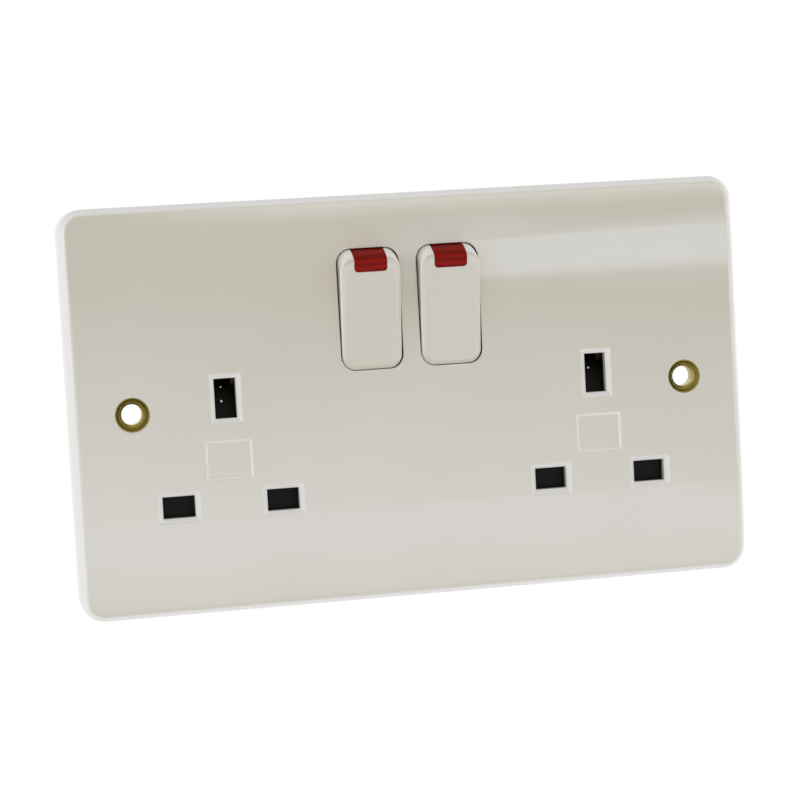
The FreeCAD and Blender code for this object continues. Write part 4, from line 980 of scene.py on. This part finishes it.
screw = joined(head, shank)
screws = []
for terminal, turn in zip(TERMINALS, TERMINAL_SCREW_TURNS):
    place = middle(terminal)
    screws.append(drive(screw, turn, (place.x, seat, place.z)))
put_away(screw)
dress(joined(*screws), "slotted_terminal_screws", screw_brass, "socket", "plated_brass", "terminal_screws")

# %% [markdown]
# Four plated screws hold the housing to the plate. They cut their own thread in the plastic, so the
# thread is coarse. The round-topped heads have a cross recess. It could be one cutter in the shape of a
# cross. Two tapered blocks taken out one after the other at right angles are simpler.

# %% Housing screws
HOUSING_HEAD_RADIUS = 2.6 * MM
HOUSING_HEAD = 1.6 * MM
HOUSING_DOME = 1.0 * MM
HOUSING_DOME_STEPS = 6
HOUSING_SHANK_RADIUS = 1.3 * MM
HOUSING_TOOTH = 0.4 * MM
HOUSING_PITCH = 0.9 * MM
CROSS_WIDTH = 0.75 * MM
CROSS_REACH = 2.9 * MM
CROSS_DEPTH = 1.1 * MM
CROSS_TAPER = 0.45
UPPER_SCREW_X = 48.0 * MM
HOUSING_SCREW_TURNS = (0.3, 1.0, 0.7, 0.1)


def cross_blade(turn):
    """One of the two tapered blocks of a cross recess."""
    blade = block(CROSS_WIDTH, CROSS_REACH, HOUSING_HEAD - CROSS_DEPTH, HOUSING_HEAD + CROSS_DEPTH)
    pick_edges(blade, lambda corner: corner.z < HOUSING_HEAD)
    bpy.ops.transform.resize(value=(CROSS_TAPER, CROSS_TAPER, 1))
    bpy.ops.object.mode_set(mode="OBJECT")
    blade.rotation_euler.z = turn
    settle()
    return blade


low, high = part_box("housing_screws")
seat = high.y - HOUSING_HEAD
head = screw_head(HOUSING_HEAD_RADIUS, HOUSING_HEAD, HOUSING_DOME, HOUSING_DOME_STEPS)
for turn in (0, math.pi / 2):
    cut_out(head, cross_blade(turn))
shank = threaded_shank(HOUSING_SHANK_RADIUS, HOUSING_TOOTH, HOUSING_PITCH, low.y - seat, SHANK_LAP)
screw = joined(head, shank)
upper = high.z - HOUSING_HEAD_RADIUS
lower = low.z + HOUSING_HEAD_RADIUS
lower_x = high.x - HOUSING_HEAD_RADIUS
spots = ((-UPPER_SCREW_X, upper), (UPPER_SCREW_X, upper), (-lower_x, lower), (lower_x, lower))
screws = [drive(screw, turn, (x, seat, z)) for (x, z), turn in zip(spots, HOUSING_SCREW_TURNS)]
put_away(screw)
dress(joined(*screws), "cross_head_screws", zinc, "socket", "zinc_steel", "housing_screws")

# %% [markdown]
# In the earth slots one sees the ramps of the shutters, and on them the round heads of small steel
# pins, which glint in the dark. A bright spot in the ramp's finish would do from the front, but it
# would not catch the light from elsewhere. A head is a short cylinder whose rim is rounded right over,
# tipped to lie square on the ramp.

# %% Shutter pins
PIN_HEAD_RADIUS = 0.34 * MM
PIN_HEAD = 0.26 * MM
PIN_DOME = 0.24 * MM
PIN_DOME_STEPS = 4
PIN_SINK = 0.04 * MM
RAMP_LEAN = math.radians(24.1)
RAMP_FOOT_Z = -2.225 * MM
PIN_SPOTS = {
    "left": ((-0.25 * MM, 4.3 * MM), (-0.45 * MM, 1.3 * MM)),
    "right": ((-0.3 * MM, 3.0 * MM),)}


def pin_place(shutter, shift, z):
    """A point just under the ramp's face, so far to the side of its middle and at a height."""
    ramp_foot_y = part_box(shutter)[0].y
    y = ramp_foot_y + (z - RAMP_FOOT_Z) * math.tan(RAMP_LEAN)
    return (
        middle(shutter).x + shift, y + PIN_SINK * math.cos(RAMP_LEAN), z - PIN_SINK * math.sin(RAMP_LEAN))


head = screw_head(PIN_HEAD_RADIUS, PIN_HEAD, PIN_DOME, PIN_DOME_STEPS)
for side in SIDES:
    shutter = "shutter_" + side
    lean = (math.pi / 2 - RAMP_LEAN, 0, 0)
    heads = [carry(head, pin_place(shutter, shift, z), lean) for shift, z in PIN_SPOTS[side]]
    dress(joined(*heads), "shutter_pins_" + side, zinc, shutter, "zinc_steel")
put_away(head)

# %% [markdown]
# Behind each lens lies a neon lamp: a glass tube rounded at both ends, and in it two bare electrodes
# side by side that do not touch. A solid glass rod would bend the light too much, so the tube gets a
# wall from Solidify. An electrode is a thin rod whose inner end is rounded and whose outer end is drawn
# out to a stem that meets the lead.

# %% Neon lamps
LAMP_SIDES = 24
LAMP_DOME = 2.0 * MM
LAMP_DOME_STEPS = 6
LAMP_WALL = 0.35 * MM
ELECTRODE_SIDES = 12
ELECTRODE_RADIUS = 0.45 * MM
ELECTRODE_LENGTH = 4.4 * MM
ELECTRODE_RISE = 0.88 * MM
ELECTRODE_SHIFT = 0.85 * MM
TIP_ROUNDING = 0.36 * MM
TIP_STEPS = 3
STEM_SHARE = 0.55
TURN_OVER = (0, math.pi, 0)
TURN_TO_SIDE = (0, math.pi / 2, 0)


def lamp_tube(radius, length):
    """A hollow glass tube about the origin, along the Z axis."""
    clear_selection()
    bpy.ops.mesh.primitive_cylinder_add(vertices=LAMP_SIDES, radius=radius, depth=length)
    tube = bpy.context.object
    round_rim(tube, lambda corner: corner.z > length / 4, LAMP_DOME, LAMP_DOME_STEPS)
    round_rim(tube, lambda corner: corner.z < -length / 4, LAMP_DOME, LAMP_DOME_STEPS)
    wall = tube.modifiers.new("wall", "SOLIDIFY")
    wall.thickness = LAMP_WALL
    bpy.ops.object.modifier_apply(modifier="wall")
    return tube


def electrode(end):
    """A rod beside the Z axis with a rounded tip, drawn out at its foot to a stem that ends on the axis."""
    clear_selection()
    bpy.ops.mesh.primitive_cylinder_add(
        vertices=ELECTRODE_SIDES, radius=ELECTRODE_RADIUS, depth=ELECTRODE_LENGTH,
        location=(ELECTRODE_SHIFT, 0, ELECTRODE_RISE))
    rod = bpy.context.object
    settle()
    top = ELECTRODE_RISE + ELECTRODE_LENGTH / 2
    bottom = top - ELECTRODE_LENGTH
    round_rim(rod, lambda corner: corner.z > top - ELECTRODE_RADIUS, TIP_ROUNDING, TIP_STEPS)
    pick_edges(rod, lambda corner: corner.z < bottom + ELECTRODE_RADIUS)
    bpy.ops.mesh.select_mode(type="FACE")
    bpy.ops.mesh.extrude_region_move(TRANSFORM_OT_translate={"value": (-ELECTRODE_SHIFT, 0, -end - bottom)})
    bpy.ops.transform.resize(value=(STEM_SHARE, STEM_SHARE, 1))
    bpy.ops.object.mode_set(mode="OBJECT")
    return rod


low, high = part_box("neon_lamp_right")
lamp_length = high.x - low.x
tube = lamp_tube((high.z - low.z) / 2, lamp_length)
rod = electrode(lamp_length / 2 - LAMP_WALL)
pair = joined(rod, carry(rod, ORIGIN, TURN_OVER))
for side in SIDES:
    stand_in = "neon_lamp_" + side
    glass = carry(tube, middle(stand_in), TURN_TO_SIDE)
    dress(glass, "lamp_tube_" + side, lamp_glass, "socket", "lamp_glass", stand_in)
    inside = carry(pair, middle(stand_in), TURN_TO_SIDE)
    dress(inside, "lamp_electrodes_" + side, tinned, "socket", "tinned_wire")
put_away(tube)
put_away(pair)

# %% [markdown]
# Each lamp has its resistor, a dipped body thicker at both ends than in the middle, with four colour
# rings. Rings of their own would be eight more pieces. Here the body grows from one ring of corners,
# extruded along the axis and scaled at every stop, and the stops are also the edges of the rings, so
# that a ring is a few faces with a finish.

# %% Resistors
RESISTOR_SIDES = 20
RESISTOR_START = 0.3
RESISTOR_STOPS = (
    (0.02, 0.6), (0.06, 0.88), (0.12, 1.0), (0.16, 1.0), (0.25, 1.0), (0.31, 0.86),
    (0.36, 0.84), (0.45, 0.84), (0.5, 0.84), (0.59, 0.84), (0.64, 0.84), (0.69, 0.86),
    (0.75, 1.0), (0.84, 1.0), (0.88, 1.0), (0.94, 0.88), (0.98, 0.6), (1.0, 0.3))
RING_SPANS = ((0.16, 0.25), (0.36, 0.45), (0.5, 0.59), (0.75, 0.84))
RING_FINISHES = (
    new_finish("ring_brown", color=(0.09, 0.035, 0.015), roughness=0.45),
    new_finish("ring_green", color=(0.03, 0.16, 0.05), roughness=0.45),
    new_finish("ring_yellow", color=(0.62, 0.42, 0.03), roughness=0.45),
    new_finish("ring_gold", color=(0.5, 0.32, 0.08), roughness=0.35))


def resistor_body(radius, length):
    """A body of revolution along the Z axis about the origin, grown from one ring of corners."""
    clear_selection()
    bpy.ops.mesh.primitive_circle_add(
        vertices=RESISTOR_SIDES, radius=radius * RESISTOR_START, fill_type="NGON",
        location=(0, 0, -length / 2))
    body = bpy.context.object
    settle()
    bpy.ops.object.mode_set(mode="EDIT")
    bpy.ops.mesh.select_mode(type="FACE")
    bpy.ops.mesh.select_all(action="SELECT")
    last_stop = 0.0
    last_share = RESISTOR_START
    for stop, share in RESISTOR_STOPS:
        step = (0, 0, (stop - last_stop) * length)
        bpy.ops.mesh.extrude_region_move(TRANSFORM_OT_translate={"value": step})
        bpy.ops.transform.resize(value=(share / last_share, share / last_share, 1))
        last_stop = stop
        last_share = share
    bpy.ops.mesh.select_all(action="SELECT")
    bpy.ops.mesh.normals_make_consistent(inside=False)
    bpy.ops.object.mode_set(mode="OBJECT")
    return body


def paint_rings(piece, start, length):
    """Gives each ring its own finish, after the body's own."""
    for finish in RING_FINISHES:
        piece.data.materials.append(finish)
    for face in piece.data.polygons:
        share = (face.center.x - start) / length
        for index, (ring_start, ring_end) in enumerate(RING_SPANS, start=1):
            if ring_start < share < ring_end:
                face.material_index = index


low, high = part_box("neon_resistor_right")
resistor_length = high.x - low.x
model = resistor_body((high.z - low.z) / 2, resistor_length)
for side in SIDES:
    stand_in = "neon_resistor_" + side
    place = middle(stand_in)
    resistor = carry(model, place, TURN_TO_SIDE)
    dress(resistor, "ringed_resistor_" + side, resistor_tan, "socket", "resistor_body", stand_in)
    paint_rings(resistor, place.x - resistor_length / 2, resistor_length)
put_away(model)

# %% [markdown]
# Raised marks on the floor of the terminal bay say which terminal is which: N, the earth sign and L.
# They could be colour alone, but moulded marks stay readable when the paint is gone. A letter is a text
# object, given thickness and made a mesh. The earth sign is a stem and three bars, blocks with their
# edges taken off. Each mark is drawn lying flat, face up, and is then stood up to be read from behind.
# The paint on them is a little uneven.

# %% Terminal marks
MARK_SIZE = 6.4 * MM
MARK_RISE = 0.4 * MM
MARK_SINK = 0.02 * MM
MARK_Z = -27.5 * MM
BAR_THICK = 0.7 * MM
BAR_EDGE = 0.1 * MM
EARTH_BARS = ((4.6 * MM, 0.1 * MM), (3.0 * MM, -1.1 * MM), (1.4 * MM, -2.3 * MM))
EARTH_STEM = 2.2 * MM
TURN_TO_READER = (math.pi / 2, 0, math.pi)


def letter(sign):
    """A letter about the origin, lying flat."""
    clear_selection()
    bpy.ops.object.text_add()
    text = bpy.context.object
    text.data.body = sign
    text.data.size = MARK_SIZE
    text.data.align_x = "CENTER"
    text.data.align_y = "CENTER"
    text.data.extrude = MARK_RISE / 2
    bpy.ops.object.convert(target="MESH")
    bpy.ops.object.mode_set(mode="EDIT")
    bpy.ops.mesh.select_all(action="SELECT")
    bpy.ops.mesh.remove_doubles(threshold=CLOSE)
    bpy.ops.mesh.normals_make_consistent(inside=False)
    bpy.ops.object.mode_set(mode="OBJECT")
    return bpy.context.object


def bar(width, length, shift):
    """A flat bar with its edges taken off, so far up from the origin."""
    piece = block(width, length, -MARK_RISE / 2, MARK_RISE / 2)
    round_rim(piece, lambda corner: True, BAR_EDGE, 1)
    piece.location.y = shift
    settle()
    return piece


def earth_sign():
    bars = [bar(width, BAR_THICK, shift) for width, shift in EARTH_BARS]
    return joined(bar(BAR_THICK, EARTH_STEM, EARTH_STEM / 2), *bars)


mark_paint = new_finish("mark_paint", color=(0.6, 0.6, 0.57), roughness=0.55)
drift_color(mark_paint, cells=600.0, dark=(0.5, 0.5, 0.47), light=(0.66, 0.66, 0.63))
bay_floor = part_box("earth_terminal")[0].y
marks = []
for terminal, model in zip(TERMINALS, (letter("N"), earth_sign(), letter("L"))):
    place = (middle(terminal).x, bay_floor + MARK_RISE / 2 - MARK_SINK, MARK_Z)
    marks.append(carry(model, place, TURN_TO_READER))
    put_away(model)
dress(joined(*marks), "terminal_marks", mark_paint, "socket", "dark_plastic")
